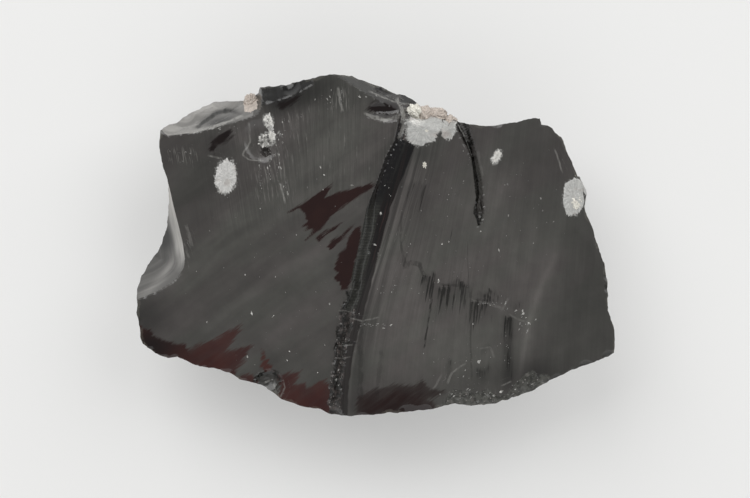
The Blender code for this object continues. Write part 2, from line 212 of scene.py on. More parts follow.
def depth_inside(x, y, corners):
    """Signed distance to a closed shape's edge: above 0 inside it and below 0 outside."""
    nearest = np.full(x.shape, FAR)
    inside = np.zeros(x.shape, bool)
    for (ax, ay), (bx, by) in zip(corners, corners[1:] + corners[:1]):
        nearest = np.minimum(nearest, nearest_on_side(x, y, (ax, ay), (bx, by))[1])
        if ay != by:
            inside ^= ((ay > y) != (by > y)) & (x < (bx - ax) * (y - ay) / (by - ay) + ax)
    return np.where(inside, nearest, -nearest)


def scar_height(x, y):
    """Height of the side scar: the left face, less a slope from the scar's inner edge that eases off with
    the distance squared.  Also that distance."""
    from_edge = depth_inside(x, y, SCAR_EDGE)
    drop = SCAR_SLOPE * from_edge - np.maximum(from_edge, 0.0) ** 2 / (2.0 * SCAR_HOLLOW)
    return bowl_height(LEFT_FACE, x, y) - drop, from_edge


def smooth_step(low, high, value):
    """0 below low, 1 above high, and an S curve between them."""
    share = np.clip((value - low) / (high - low), 0.0, 1.0)
    return share * share * (3.0 - 2.0 * share)


def distance_to_path(x, y, path):
    """Distance to a path of (x, y, width) points, and the path's width where it is nearest."""
    nearest = np.full(x.shape, FAR)
    width = np.zeros(x.shape)
    for start, end in zip(path, path[1:]):
        share, away = nearest_on_side(x, y, start, end)
        closer = away < nearest
        width = np.where(closer, start[2] + share * (end[2] - start[2]), width)
        nearest = np.where(closer, away, nearest)
    return nearest, width


def facet_height(facet, x, y):
    """Height of a facet: its bowl, turned up steeply beyond its reach so that it ends there."""
    beyond = np.maximum(np.hypot(x - facet[0], y - facet[1]) - FACET_REACH[facet], 0.0)
    return bowl_height(facet, x, y) + FACET_END * beyond


def lower_of(height, other, ease=0.10):
    """The lower of two heights, with the crease between them rounded over about twice the ease."""
    share = np.clip(0.5 + 0.5 * (height - other) / ease, 0.0, 1.0)
    return height + (other - height) * share - ease * share * (1.0 - share)


def front_height(x, y, without=None):
    """Height of the front above the plan: the two faces joined by the band's riser, then the lowest of
    the facets, the side scar, the hollows and the crack.  One of the fractures can be left out."""
    place = band_place(x, y)
    width = 0.62 - 0.44 * smooth_step(2.0, 8.0, y)
    rise = smooth_step(0.0, 1.0, place / width)
    left, right = bowl_height(LEFT_FACE, x, y), bowl_height(RIGHT_FACE, x, y)
    height = left + (right - left) * rise
    for facet in FACET_REACH:
        if facet is not without:
            height = lower_of(height, facet_height(facet, x, y))
    if without is not SCAR_EDGE:
        height = lower_of(height, scar_height(x, y)[0], 0.04)
    for hx, hy, depth, long_radius, short_radius, turn in HOLLOWS:
        along, across = along_and_across(x, y, hx, hy, turn)
        inside = 1.0 - (along / long_radius) ** 2 - (across / short_radius) ** 2
        height = height - depth * np.sqrt(np.maximum(inside, 0.0))
    for arm in CRACK_ARMS:
        away, width = distance_to_path(x, y, arm)
        across = 1.0 - (away / (0.62 * np.maximum(width, 0.01))) ** 2
        height = height - CRACK_SLENDERNESS * width * np.maximum(across, 0.0)
    return height


def walk_outline(corners, step):
    """Points round a closed outline: each side is cut into equal parts of about one step."""
    following = np.roll(corners, -1, axis=0)
    parts = np.maximum(1, np.rint(np.linalg.norm(following - corners, axis=1) / step)).astype(int)
    share = np.concatenate([np.arange(count) / count for count in parts])
    start, end = np.repeat(corners, parts, axis=0), np.repeat(following, parts, axis=0)
    return start + (end - start) * share[:, None]


def reach_to_bowl(direction, fracture):
    """How far a ray from the middle runs before it leaves the stone through a fracture's bowl: the
    nearer root of height = distance squared over twice the hollow's radius, in the bowl's own frame."""
    compass, lean = math.radians(fracture[3]), math.radians(fracture[4])
    hollow, ripple, spacing = fracture[5:]
    downhill = np.array([math.cos(lean) * math.cos(compass), math.cos(lean) * math.sin(compass),
                         -math.sin(lean)])
    level = np.array([-math.sin(compass), math.cos(compass), 0.0])
    outward = np.cross(downhill, level)
    start = MIDDLE - np.array(fracture[:3])
    a = np.array([start @ downhill, start @ level, start @ outward])
    b = np.stack([direction @ downhill, direction @ level, direction @ outward], axis=-1)
    ring = 0.0
    for _ in range(2):
        square = (b[..., 0] ** 2 + b[..., 1] ** 2) / (2.0 * hollow)
        linear = 2.0 * (a[0] * b[..., 0] + a[1] * b[..., 1]) / (2.0 * hollow) - b[..., 2]
        constant = (a[0] ** 2 + a[1] ** 2) / (2.0 * hollow) - a[2] + ring
        inside = np.maximum(linear ** 2 - 4.0 * square * constant, 0.0)
        reach = 2.0 * constant / (-linear + np.sqrt(inside))
        hit_down, hit_level = a[0] + reach * b[..., 0], a[1] + reach * b[..., 1]
        from_blow = np.hypot(hit_down + UNDER_BLOW[0], hit_level - UNDER_BLOW[1])
        ring = ripple * np.cos(2 * np.pi * from_blow / spacing)
    clear = (linear < 0.0) & (linear ** 2 > 4.0 * square * constant) & (reach > 0.0)
    return np.where(clear, reach, FAR)


def scoops(x, y, height, balls):
    """The front with flakes struck from its rim: the height is held under the lower half of each ball
    (x, y, z, radius), which leaves a shallow round scar."""
    for bx, by, bz, radius in balls:
        drop = radius ** 2 - (x - bx) ** 2 - (y - by) ** 2
        height = np.where(drop > 0.0, np.minimum(height, bz - np.sqrt(np.maximum(drop, 0.0))), height)
    return height


def flakes_along(rim, outward, stretch, count, radii, seed):
    """Balls of seeded sizes set along a stretch of the rim, each just outside and above it."""
    draw = np.random.default_rng(seed)
    near = [i for i, point in enumerate(rim) if stretch(point)]
    picked = draw.choice(near, count, replace=False)
    radius = draw.uniform(radii[0], radii[1], count)
    lift = draw.uniform(0.80, 0.92, count)
    centre = rim[picked] + outward[picked] * (radius * draw.uniform(0.15, 0.42, count))[:, None]
    height = front_height(rim[picked, 0], rim[picked, 1]) + lift * radius
    return np.column_stack([centre, height, radius])


rim = walk_outline(OUTLINE, RIM_STEP)
columns = len(rim)
chord = np.roll(rim, -1, axis=0) - np.roll(rim, 1, axis=0)
outward = np.stack([-chord[:, 1], chord[:, 0]], axis=1) / np.linalg.norm(chord, axis=1)[:, None]
round_rim = np.arange(columns) * RIM_STEP
nibble = 0.16 * np.abs(waves(round_rim, 0 * round_rim, 3.1, 21)) + 0.07 * np.abs(
    waves(round_rim, 0 * round_rim, 1.1, 22))
rim = rim - outward * nibble[:, None]

RIM_FLAKES = np.concatenate([
    flakes_along(rim, outward, lambda p: p[1] < -14.0 and p[0] > 4.0, 24, (0.8, 3.0), 31),
    flakes_along(rim, outward, lambda p: p[1] < -14.0 and p[0] <= 4.0, 16, (0.7, 2.4), 32),
    flakes_along(rim, outward, lambda p: p[0] > 24.0 and p[1] < 4.0, 9, (0.8, 2.2), 33),
    flakes_along(rim, outward, lambda p: p[1] > 15.0 and p[0] < 8.0, 12, (0.8, 2.6), 34),
    flakes_along(rim, outward, lambda p: p[1] > 14.0 and p[0] >= 8.0, 4, (0.6, 1.4), 35),
    flakes_along(rim, outward, lambda p: p[0] < -27.0 and p[1] < -9.0, 6, (0.8, 2.2), 36),
])


def crumble_zone(x, y):
    """0 to 1: how crushed the front is, in the foot of the band and along the lower right margin."""
    place = band_place(x, y)
    across = smooth_step(-0.35, 0.0, place) * (1.0 - smooth_step(0.50, 0.80, place))
    foot = across * (1.0 - smooth_step(-10.0, -7.6, y))
    rim_y = np.interp(x, [9.0, 11.1, 16.4, 21.7, 24.5, 31.2], [-22.2, -21.8, -21.9, -20.1, -18.6, -15.8])
    margin = 1.0 - smooth_step(0.7, 2.6, y - rim_y + 0.7 * waves(x, 0 * y, 4.0, 41))
    margin = margin * smooth_step(8.0, 11.0, x) * (1.0 - smooth_step(22.5, 25.0, x))
    neck = np.exp(-(((x - 4.2) / 1.1) ** 2 + ((y - 16.6) / 2.6) ** 2) ** 2)
    return np.clip(np.maximum(np.maximum(foot, margin), neck), 0.0, 1.0)


# The round chip: x, y and radius, and the height and spacing of its rings.
RINGED_CHIP = (-14.8, -19.0, 2.1, 0.045, 0.85)
# The heights of the fine relief, and the y and depth of the little step across the band.
STRIATIONS, RIBS, CRUSHED = 0.010, 0.012, 0.085
STEP_Y, STEP_DEPTH = -13.3, 0.30


def fine_front(x, y):
    """The front with its fine relief: long low striations beside the band, cross ribs on the band,
    crushed glass where it crumbled, and the rings of the round chip."""
    place = band_place(x, y)
    height = front_height(x, y)
    on_band = smooth_step(-0.2, 0.1, place) * (1.0 - smooth_step(0.95, 1.3, place))
    beside = smooth_step(0.8, 1.2, place) * (1.0 - smooth_step(4.0, 22.0, place))
    height += STRIATIONS * beside * waves(place, 0 * y, 1.1, 51)
    height += RIBS * on_band * (place < 0.5) * (y < 6.0) * waves(0.3 * x, y, 0.9, 52)
    height += CRUSHED * crumble_zone(x, y) * (waves(x, y, 0.95, 53) + 0.6 * waves(x, y, 0.55, 54))
    step_down = smooth_step(-0.15, 0.15, STEP_Y - y + 0.2 * waves(x, y, 1.0, 55))
    height -= STEP_DEPTH * on_band * step_down * (1.0 - smooth_step(0.0, 5.0, STEP_Y - y))
    chip_x, chip_y, chip_reach, ring_height, ring_spacing = RINGED_CHIP
    from_blow = np.hypot(x - chip_x, y - chip_y)
    in_chip = 1.0 - smooth_step(0.8 * chip_reach, chip_reach, from_blow)
    height += ring_height * np.cos(2 * np.pi * from_blow / ring_spacing) * in_chip
    return scoops(x, y, height, RIM_FLAKES)


def reach_to_balls(direction, balls, reach):
    """The ray's reach, held short where it would enter a ball (x, y, z, radius) outside the stone."""
    for ball in balls:
        start = MIDDLE - ball[:3]
        half = np.sum(direction * start, axis=-1)
        square = np.sum(direction ** 2, axis=-1)
        inside = half ** 2 - square * (start @ start - ball[3] ** 2)
        near = (-half - np.sqrt(np.maximum(inside, 0.0))) / square
        reach = np.where((inside > 0.0) & (near > 0.0), np.minimum(reach, near), reach)
    return reach


def towards_rim(share):
    """x and y of points at some shares of the way from the middle to each point of the rim."""
    return [MIDDLE[axis] + share[:, None] * (rim[:, axis] - MIDDLE[axis])[None, :] for axis in (0, 1)]


# The front: every point lies on a line from the middle to the rim.
share = (np.arange(1, FRONT_ROWS + 1) / FRONT_ROWS) ** 0.94
front_x, front_y = towards_rim(share)
front_z = fine_front(front_x, front_y)
front = np.stack([front_x, front_y, front_z], axis=-1)

# The wall under the rim, the undersides and the flat foot: rays from the middle, which end at the
# first of the wall, the fractures that break in from the rim, the bellies and the ground.
down = np.concatenate([(np.arange(1, SIDE_ROWS + 1) / SIDE_ROWS) ** 1.15,
                       np.ones(BASE_ROWS - 1)])
inward = np.concatenate([np.ones(SIDE_ROWS), 1.0 - np.arange(1, BASE_ROWS) / BASE_ROWS])
plan_share = (1.0 - (1.0 - FOOT_SHARE) * down) * inward
aim_x, aim_y = towards_rim(plan_share)
aim_z = (1.0 - down)[:, None] * front_z[-1][None, :]
ray = np.stack([aim_x, aim_y, aim_z], axis=-1) - MIDDLE
ground = np.where(ray[..., 2] < 0.0, -MIDDLE[2] / np.minimum(ray[..., 2], -1e-9), FAR)
reach = 1.0 / plan_share[:, None] * np.ones(columns)[None, :]
for x, y, drop, compass, lean, hollow, ripple, spacing in FROM_RIM.values():
    z = float(front_height(np.array([x]), np.array([y]))[0]) + drop
    reach = np.minimum(reach, reach_to_bowl(ray, (x, y, z, compass, lean, hollow, ripple, spacing)))
for belly in BELLIES:
    reach = np.minimum(reach, reach_to_bowl(ray, belly))

# Flakes struck from the edges on the underside.
draw = np.random.default_rng(61)
struck = []
for row, column in zip(draw.integers(3, 24, 46), draw.integers(0, columns, 46)):
    hit = MIDDLE + ray[row, column] * min(reach[row, column], ground[row, column])
    size = draw.uniform(1.6, 6.5)
    away = ray[row, column] / np.linalg.norm(ray[row, column])
    away = away + np.array([0.0, 0.0, draw.uniform(-0.9, 0.2)])
    struck.append([*(hit + away / np.linalg.norm(away) * size * draw.uniform(0.90, 0.975)), size])
reach = reach_to_balls(ray, np.array(struck), reach)

round_way = round_rim[None, :] * np.ones(len(down))[:, None]
hackle = waves(0.55 * round_way, 0.12 * aim_z, 1.3, 62) + 0.5 * waves(round_way, aim_z, 2.3, 63)
fade = smooth_step(0.0, 0.05, down)[:, None]
HACKLE_DEPTH = 0.0022
reach = np.minimum(reach * (1.0 - HACKLE_DEPTH * fade * (1.0 + hackle)), ground)
under = MIDDLE + ray * reach[..., None]

top_pole = np.array([[MIDDLE[0], MIDDLE[1], float(fine_front(MIDDLE[:1], MIDDLE[1:2])[0])]])
foot_pole = np.array([[MIDDLE[0], MIDDLE[1], 0.0]])
stone_points = np.concatenate([top_pole, front.reshape(-1, 3), under.reshape(-1, 3), foot_pole])


def ring_faces(rows, columns):
    """Faces of a closed skin: a fan at each pole and four-sided faces between the rings of points."""
    ring = np.arange(columns)
    after = (ring + 1) % columns
    start = 1 + columns * np.arange(rows - 1)[:, None]
    quads = np.stack([start + ring, start + after, start + columns + after, start + columns + ring],
                     axis=-1).reshape(-1, 4)
    first, last = 1, 1 + columns * (rows - 1)
    top = np.stack([np.zeros(columns, int), first + after, first + ring], axis=-1)
    foot = np.stack([np.full(columns, 1 + columns * rows), last + ring, last + after], axis=-1)
    return top, quads, foot


def add_mesh(name, points, face_sets):
    """An object from an array of points in millimetres and arrays of faces."""
    mesh = bpy.data.meshes.new(name)
    faces = [face for face_set in face_sets for face in face_set.tolist()]
    mesh.from_pydata((points * MM).tolist(), [], faces)
    mesh.validate()
    piece = bpy.data.objects.new(name, mesh)
    bpy.context.scene.collection.objects.link(piece)
    return piece


def add_attribute(piece, name, values):
    """A number, or a place of three numbers, at every point of a piece, which its material reads."""
    kind, field = ("FLOAT", "value") if values.ndim == 1 else ("FLOAT_VECTOR", "vector")
    attribute = piece.data.attributes.new(name, kind, "POINT")
    attribute.data.foreach_set(field, values.astype(np.float32).ravel())


stone = add_mesh("obsidian_glass", stone_points, ring_faces(FRONT_ROWS + len(down), columns))
stone.data.shade_smooth()
SHARP_GLASS = 20.0
stone.data.set_sharp_from_angle(angle=math.radians(SHARP_GLASS))


# ---------------------------------------------------------------------------------------------------
# The glass's colours and finish.
# Black glass under a grey haze, a painted sheen that stands in for the bright ceiling mirrored in the
# glossy faces, with mahogany flames where the clear dark glass shows through it.  Striations run with
# the fractures, the side scar is a pale painted satin sheen, and crushed glass whitens the broken edges.
# ---------------------------------------------------------------------------------------------------
FLAMES = [
    [(0.25, 8.6), (-3.4, 7.7), (-6.8, 6.5), (-5.7, 8.4), (-8.3, 6.8), (-12.0, 4.5), (-10.2, 4.9),
     (-9.5, 4.2), (-9.3, 3.2), (-10.2, 2.5), (-9.0, 2.6), (-9.6, 1.9), (-8.35, 2.2), (-9.6, 0.65),
     (-8.5, 1.35), (-7.35, 2.2), (-5.95, 3.9), (-3.85, 5.55), (-0.45, 7.8)],
    [(-8.1, 0.65), (-7.9, 1.2), (-6.65, 2.05), (-4.1, 3.3), (-5.4, 2.05), (-6.8, 1.35), (-7.5, 0.5)],
    [(-6.5, -0.2), (-5.95, 0.65), (-4.8, 1.35), (-2.7, 3.05), (-3.4, 1.9), (-4.8, 0.5),
     (-5.95, -0.65)],
    [(-1.9, 2.6), (-2.7, 2.35), (-3.55, 1.05), (-3.95, -0.35), (-4.8, -1.05), (-5.6, -3.15),
     (-5.1, -3.7), (-5.65, -4.4), (-4.8, -5.3), (-4.55, -6.1), (-3.7, -6.0), (-2.5, -3.15),
     (-1.9, 1.05)],
    [(-18.1, -10.8), (-22.2, -12.85), (-26.6, -14.6), (-29.0, -17.0), (-19.0, -19.5), (-19.05, -17.4),
     (-18.0, -16.0), (-16.85, -13.55), (-20.45, -14.85), (-19.75, -13.55), (-18.7, -11.95)],
    [(-18.7, -18.1), (-17.3, -17.6), (-16.4, -18.1), (-15.9, -20.5), (-18.4, -20.5)],
    [(-10.05, -17.05), (-13.3, -17.95), (-12.95, -19.5), (-14.5, -23.0), (-6.7, -24.5), (-5.3, -24.0),
     (-6.35, -18.45), (-8.15, -19.0), (-9.35, -19.7), (-9.55, -18.8), (-11.1, -19.0),
     (-10.4, -17.95)],
    [(-33.6, -10.6), (-31.6, -11.4), (-29.9, -12.6), (-28.3, -13.3), (-26.2, -13.8), (-25.2, -15.0),
     (-26.0, -17.5), (-34.0, -17.0)],
    [(-3.0, -24.5), (-2.3, -20.8), (-0.3, -19.7), (2.7, -19.0), (5.2, -19.2), (6.6, -18.3), (7.2, -19.3),
     (9.6, -20.0), (8.8, -20.6), (7.6, -21.2), (9.2, -22.6), (6.0, -24.5)],
    [(-22.4, 14.3), (-21.3, 15.2), (-19.6, 15.9), (-19.3, 15.2), (-20.6, 13.9), (-21.7, 13.7),
     (-22.0, 12.5), (-22.7, 13.2)],
    [(-13.4, 18.9), (-13.1, 19.6), (-10.1, 20.6), (-10.9, 19.5), (-12.7, 18.4)],
    [(-1.3, 18.5), (0.0, 19.4), (1.2, 19.3), (3.2, 19.5), (3.4, 18.3), (2.2, 17.7), (0.5, 17.8),
     (-0.7, 18.2)],
]
RED_FLAMES = [
    [(-15.5, -14.25), (-14.65, -15.65), (-13.95, -17.4), (-15.0, -17.5), (-15.7, -16.7),
     (-15.7, -15.5)],
]

# Where dark strokes hang, as x, y of their top, half width, length, strength.
DARK_STROKES = [
    (7.4, -3.8, 1.2, 5.0, 1.05), (9.4, -5.2, 1.3, 6.0, 1.20), (11.7, -4.8, 1.6, 6.0, 1.10),
    (14.0, -7.2, 1.2, 5.2, 1.15), (15.7, -7.4, 0.9, 4.2, 1.05), (15.2, -6.4, 2.0, 1.8, 0.95),
    (18.3, -9.4, 0.7, 11.5, 1.25), (10.2, -15.4, 0.4, 3.8, 0.95), (14.9, -16.8, 1.0, 2.9, 0.9),
    (15.3, -14.0, 0.7, 1.3, 0.85), (5.6, 8.5, 1.5, 12.0, 0.55), (9.5, 3.0, 3.0, 8.0, 0.25),
    (19.6, -8.2, 0.5, 1.2, 0.8), (12.6, -11.5, 2.5, 6.0, 0.12),
]
# Where pale strokes crowd, as x, y, half width, half height, strength.
PALE_STROKES = [
    (3.4, 0.0, 1.3, 11.0, 0.45), (10.8, -5.8, 2.6, 2.2, 0.5), (16.4, -8.2, 1.6, 0.5, 0.6),
    (-14.0, 9.8, 3.4, 4.6, 0.78), (-7.0, 14.5, 8.0, 6.5, 0.50), (-4.6, 19.6, 1.6, 2.2, 0.80),
    (-11.4, 16.6, 1.6, 3.0, 0.66), (-26.2, 12.4, 2.4, 1.5, 0.85), (-27.4, 1.2, 0.7, 2.6, 0.8),
    (20.8, -11.2, 1.8, 1.6, 0.5), (14.0, -19.5, 4.5, 1.3, 0.5), (-26.3, -3.0, 1.6, 1.8, 0.4),
    (8.0, 5.0, 7.0, 8.0, 0.10), (-16.0, 6.5, 6.0, 3.0, 0.30),
]

# Single lines, as x, y to x, y, half width, and 1 for a pale one or -1 for a dark one.  Lines that run
# close beside each other are in different sets.
SCRATCHES_AND_PAINTED_CREASES = [
    (7.9, -7.0, 6.8, -13.9, 0.13, -0.8), (13.1, -6.6, 13.3, -18.4, 0.14, -0.34),
    (12.7, 0.4, 12.9, -6.4, 0.06, -0.3), (3.8, 4.3, 3.5, 1.4, 0.16, -0.30),
    (3.5, 1.4, 3.9, -1.5, 0.18, -0.38), (3.9, -1.5, 4.35, -3.0, 0.34, -0.55),
    (4.35, -3.0, 5.0, -2.3, 0.30, -0.42), (5.0, -2.3, 6.0, -2.5, 0.30, -0.42),
    (6.0, -2.5, 6.4, -3.6, 0.34, -0.55), (6.4, -3.6, 7.0, -4.8, 0.34, -0.5),
    (9.2, -5.3, 12.4, -5.7, 0.20, -0.45), (10.0, -18.8, 10.6, -17.5, 0.16, 0.35),
    (10.6, -17.5, 12.3, -16.3, 0.14, 0.35), (8.1, -19.6, 9.2, -17.9, 0.14, 0.28),
    (-3.1, -10.0, -1.6, -10.3, 0.12, 0.4), (-1.6, -10.3, 0.4, -9.9, 0.10, 0.35),
    (13.3, -7.5, 15.6, -8.0, 0.16, 0.18), (15.6, -8.0, 17.6, -8.7, 0.16, 0.18),
    (17.6, -8.8, 18.3, -7.4, 0.14, 0.2), (18.6, -9.6, 20.6, -10.5, 0.14, 0.2),
    (14.6, -14.2, 15.8, -14.0, 0.14, 0.2), (15.8, -14.0, 16.4, -15.2, 0.14, 0.2),
    (17.6, -19.2, 18.6, -18.8, 0.10, 0.45), (-17.2, 16.6, -17.0, 14.2, 0.14, 0.4),
    (-17.0, 14.2, -18.1, 12.4, 0.13, 0.5), (-18.1, 12.4, -17.2, 11.7, 0.11, 0.6),
    (-17.2, 11.7, -15.4, 11.6, 0.10, 0.5), (-22.6, 12.3, -21.1, 11.9, 0.14, 0.5),
    (-12.9, 8.3, -12.3, 6.0, 0.12, 0.9), (-25.9, 2.6, -25.1, 0.0, 0.26, 0.28),
    (-26.2, 0.2, -25.6, -1.6, 0.18, 0.24), (-4.9, 21.3, -4.4, 18.4, 0.20, 0.6),
    (24.6, 12.9, 25.6, 10.1, 0.12, 0.45), (-1.2, 17.9, 0.0, 17.35, 0.20, 0.8),
    (0.0, 17.35, 1.6, 17.0, 0.26, 0.95), (1.6, 17.0, 3.2, 17.35, 0.26, 0.8),
    (3.1, 20.0, 3.9, 17.8, 0.30, 0.8), (3.9, 17.8, 3.9, 16.4, 0.34, 1.0),
    (3.9, 16.4, 3.4, 14.6, 0.24, 0.8), (-0.6, 20.9, 2.6, 19.6, 0.12, 0.7),
    (2.6, 19.6, 5.2, 19.2, 0.14, 0.6), (0.9, -14.6, 0.4, -20.5, 0.30, -0.25),
    (-1.9, -11.0, -2.0, -21.0, 0.34, -0.35), (-3.7, -6.4, -3.6, -7.5, 0.28, -1.3),
    (-4.2, -7.9, -4.1, -8.6, 0.26, -1.3), (-4.3, -9.3, -4.0, -10.4, 0.42, -1.2),
    (-4.9, -11.3, -5.0, -12.6, 0.30, -1.2), (-5.4, -18.3, -4.9, -19.6, 0.55, -1.3),
    (-4.7, -8.95, -2.8, -9.1, 0.09, 0.35), (-4.9, -13.8, -3.1, -13.6, 0.09, 0.35),
    (-5.2, -15.5, -3.5, -15.3, 0.09, 0.3), (-16.5, -18.8, -15.6, -17.7, 0.30, -1.0),
    (-15.6, -17.7, -14.0, -17.5, 0.26, -1.0), (-14.0, -17.5, -12.9, -18.7, 0.22, -0.9),
    (-15.2, -18.9, -14.2, -18.5, 0.16, 0.45), (-12.6, -18.5, -12.3, -19.6, 0.10, 0.35),
    (-12.3, -19.6, -12.9, -20.8, 0.12, 0.40), (-13.9, -19.2, -13.6, -20.2, 0.12, 0.4),
    # These four are painted light on the upper left facet: painted shade along its fold and a painted
    # highlight along its lower rim.
    (-24.4, 16.2, -22.6, 17.9, 0.30, -0.9), (-22.6, 17.9, -20.6, 18.8, 0.32, -0.9),
    (-25.2, 15.4, -22.2, 16.2, 0.20, 1.2), (-22.2, 16.2, -18.2, 17.7, 0.20, 1.2),
]
CRACK_LINES = [
    (10.7, 17.6, 11.5, 16.0, 0.26, -1.3), (11.5, 16.0, 12.9, 13.3, 0.26, -1.3),
    (12.9, 13.3, 13.7, 10.6, 0.24, -1.3), (13.7, 10.6, 14.2, 6.6, 0.21, -1.3),
    (14.2, 6.6, 13.75, 5.3, 0.22, -1.3), (13.75, 5.3, 13.85, 4.2, 0.30, -1.3),
    (13.85, 4.2, 14.3, 2.9, 0.20, -1.3),
]
CRACK_SHEEN = [
    (11.0, 16.9, 12.2, 14.9, 0.07, 0.9), (12.2, 14.9, 13.3, 12.0, 0.06, 0.7),
    (13.35, 12.0, 13.6, 9.2, 0.10, -1.0), (13.6, 9.2, 13.9, 6.6, 0.10, -1.0),
    (12.2, 16.9, 13.2, 13.6, 0.34, -1.2), (14.0, 12.6, 14.6, 9.6, 0.22, 0.16),
    (14.5, 6.1, 14.7, 4.7, 0.10, -0.9), (14.7, 4.7, 14.4, 3.2, 0.12, -0.7),
]


# Where snowflakes lie in the face, whose outer needles fade into the glass: x, y, half width, half
# height, turn.  They are between round, which is 2, and square.
SQUARENESS = 2.4
FROSTED_SPOTS = [
    (-20.4, 9.4, 1.50, 2.36, -6.0), (6.3, 15.7, 2.15, 2.15, 20.0), (8.0, 16.7, 1.30, 1.55, 10.0),
    (10.1, 15.8, 0.95, 1.55, -14.0), (27.2, 6.6, 1.36, 2.50, -4.0), (16.6, 12.0, 0.62, 1.15, -30.0),
    (-14.5, 17.0, 0.70, 1.05, 8.0), (-14.7, 14.5, 1.15, 1.00, 20.0),
]


def hanging(x, y, patches):
    """The strongest of some patches that start sharply at the top and thin out downwards
    (x, y of the top, half width, length, strength)."""
    total = np.zeros(x.shape)
    ragged = 0.6 * waves(x, 0 * y, 1.5, 72) + 0.35 * waves(x, 0 * y, 0.5, 73)
    for px, top, half_width, length, strength in patches:
        below = top + ragged - y
        thinning = 1.0 - (np.maximum(below, 0.0) / length) ** 1.6
        fall = smooth_step(-0.3, 0.5, below) * np.clip(thinning, 0.0, 1.0)
        total = np.maximum(total, strength * fall * np.exp(-0.7 * ((x - px) / half_width) ** 4))
    return total


def crowd(x, y, patches):
    """The strongest of some soft-edged upright ovals (x, y, half width, half height, strength)."""
    total = np.zeros(x.shape)
    for px, py, half_width, half_height, strength in patches:
        away = ((x - px) / half_width) ** 4 + ((y - py) / half_height) ** 4
        total = np.maximum(total, strength * np.exp(-0.7 * away))
    return total


def soft_spot(x, y, spot_x, spot_y, wide, high):
    """A soft round patch: 1 in its middle and fading outwards."""
    return np.exp(-((x - spot_x) / wide) ** 2 - ((y - spot_y) / high) ** 2)


def along_path(x, y, path, width):
    """A soft ridge along a path: 1 on it and fading over a width, thinner towards the path's two ends."""
    numbered = [(px, py, i / (len(path) - 1)) for i, (px, py) in enumerate(path)]
    away, share = distance_to_path(x, y, numbered)
    return np.exp(-(away / width) ** 2) * np.sin(np.pi * np.clip(share, 0.04, 0.96)) ** 0.5


def marks(x, y, patches, sweeps):
    """The sum of some soft patches and of some sweeps along paths."""
    total = np.zeros(x.shape)
    for spot_x, spot_y, wide, high, amount in patches:
        total = total + amount * soft_spot(x, y, spot_x, spot_y, wide, high)
    for amount, width, path in sweeps:
        total = total + amount * along_path(x, y, path, width)
    return total


# Patches and sweeps in the haze's painted sheen, paler where the amount is above 0 and darker below
# it.  A patch is x, y, half width, half height, amount, and a sweep is its amount, half width and path.
LEFT_PATCHES = [
    (-24.0, 7.0, 6.0, 7.0, -0.26), (-14.2, -5.2, 3.2, 1.5, -0.15), (-31.5, -10.0, 3.6, 3.6, -0.40),
    (-28.0, 14.0, 3.0, 3.0, -0.12), (-7.8, -4.0, 2.4, 2.0, 0.14), (-7.2, -14.5, 1.8, 3.0, 0.12),
    (-2.8, 9.0, 3.4, 6.0, 0.15), (-18.0, -16.4, 1.4, 1.4, 0.10), (-18.0, -2.6, 3.5, 1.4, 0.08),
    (-26.8, -5.0, 1.9, 1.5, 0.15), (-2.4, 5.6, 1.6, 1.2, 0.14), (-13.3, 13.6, 1.2, 2.0, 0.14),
    (-11.0, 21.2, 4.6, 2.0, -0.54), (-4.0, 22.4, 5.0, 1.6, -0.12), (-19.6, 4.0, 3.4, 2.6, 0.13),
    (-26.5, 8.5, 2.4, 4.0, 0.08), (-6.5, 20.2, 8.0, 2.6, -0.24), (1.7, 19.2, 2.1, 1.4, -0.60),
    (-21.6, 14.2, 1.9, 1.7, -0.30), (-18.0, 14.4, 0.9, 1.2, 0.40), (-13.2, 19.2, 3.0, 1.5, -0.50),
    (-23.4, 12.0, 1.6, 1.6, -0.14), (-14.8, -16.0, 3.0, 2.4, -0.14),
]
LEFT_SWEEPS = [
    (0.31, 1.5, [(-25.2, -2.4), (-22.7, 1.2), (-19.2, 3.9), (-14.5, 5.7), (-8.8, 7.0)]),
    (0.16, 0.40, [(-23.6, -2.0), (-20.4, 1.6), (-17.4, 3.4), (-14.6, 4.3)]),
    (0.13, 0.40, [(-24.4, -4.6), (-21.2, -1.0), (-17.8, 1.3), (-14.0, 2.3)]),
    (0.12, 1.6, [(-22.0, -10.5), (-12.0, -2.5), (-4.8, 3.8)]),
    (0.14, 0.9, [(-10.8, -2.8), (-7.4, -0.8), (-4.2, 4.2)]),
    (0.10, 0.6, [(-24.5, -13.2), (-19.8, -8.6), (-14.8, -5.8)]),
    (0.07, 0.9, [(-14.0, -12.5), (-9.8, -9.4), (-5.0, -7.2)]),
    (-0.03, 0.9, [(-27.0, -8.0), (-20.0, -4.0), (-13.0, -0.5)]),
]
RIGHT_PATCHES = [
    (5.0, -10.0, 12.0, 11.0, 0.26), (4.5, -6.0, 3.5, 8.0, 0.08), (21.0, -17.0, 4.6, 2.6, -0.14),
    (23.0, 0.0, 2.5, 4.0, 0.07), (17.0, -2.0, 8.0, 6.0, 0.06), (21.0, 8.0, 5.0, 6.0, -0.10),
    (10.5, 0.5, 3.5, 4.5, 0.10), (8.0, 6.5, 2.6, 4.0, -0.10), (16.0, 10.6, 2.6, 5.0, 0.17),
    (13.2, -14.0, 4.6, 3.6, 0.13), (6.4, 12.4, 1.6, 1.4, -0.22), (20.5, -0.5, 3.0, 4.0, 0.06),
    (-1.5, -21.4, 2.4, 2.0, -0.22), (20.6, -18.0, 3.6, 2.2, -0.32), (18.6, -15.0, 1.3, 4.2, -0.16),
    (24.0, 8.5, 1.8, 5.0, -0.12), (28.4, -8.5, 2.6, 4.5, -0.08), (15.4, 8.0, 1.3, 3.4, 0.12),
    (12.9, 4.0, 1.1, 1.8, 0.12), (17.4, -9.6, 0.8, 3.0, 0.10),
]
EDGE_STREAK = [(24.8, -1.4), (23.4, -4.2), (22.2, -7.2), (21.3, -10.6), (20.4, -15.0), (19.7, -19.4)]
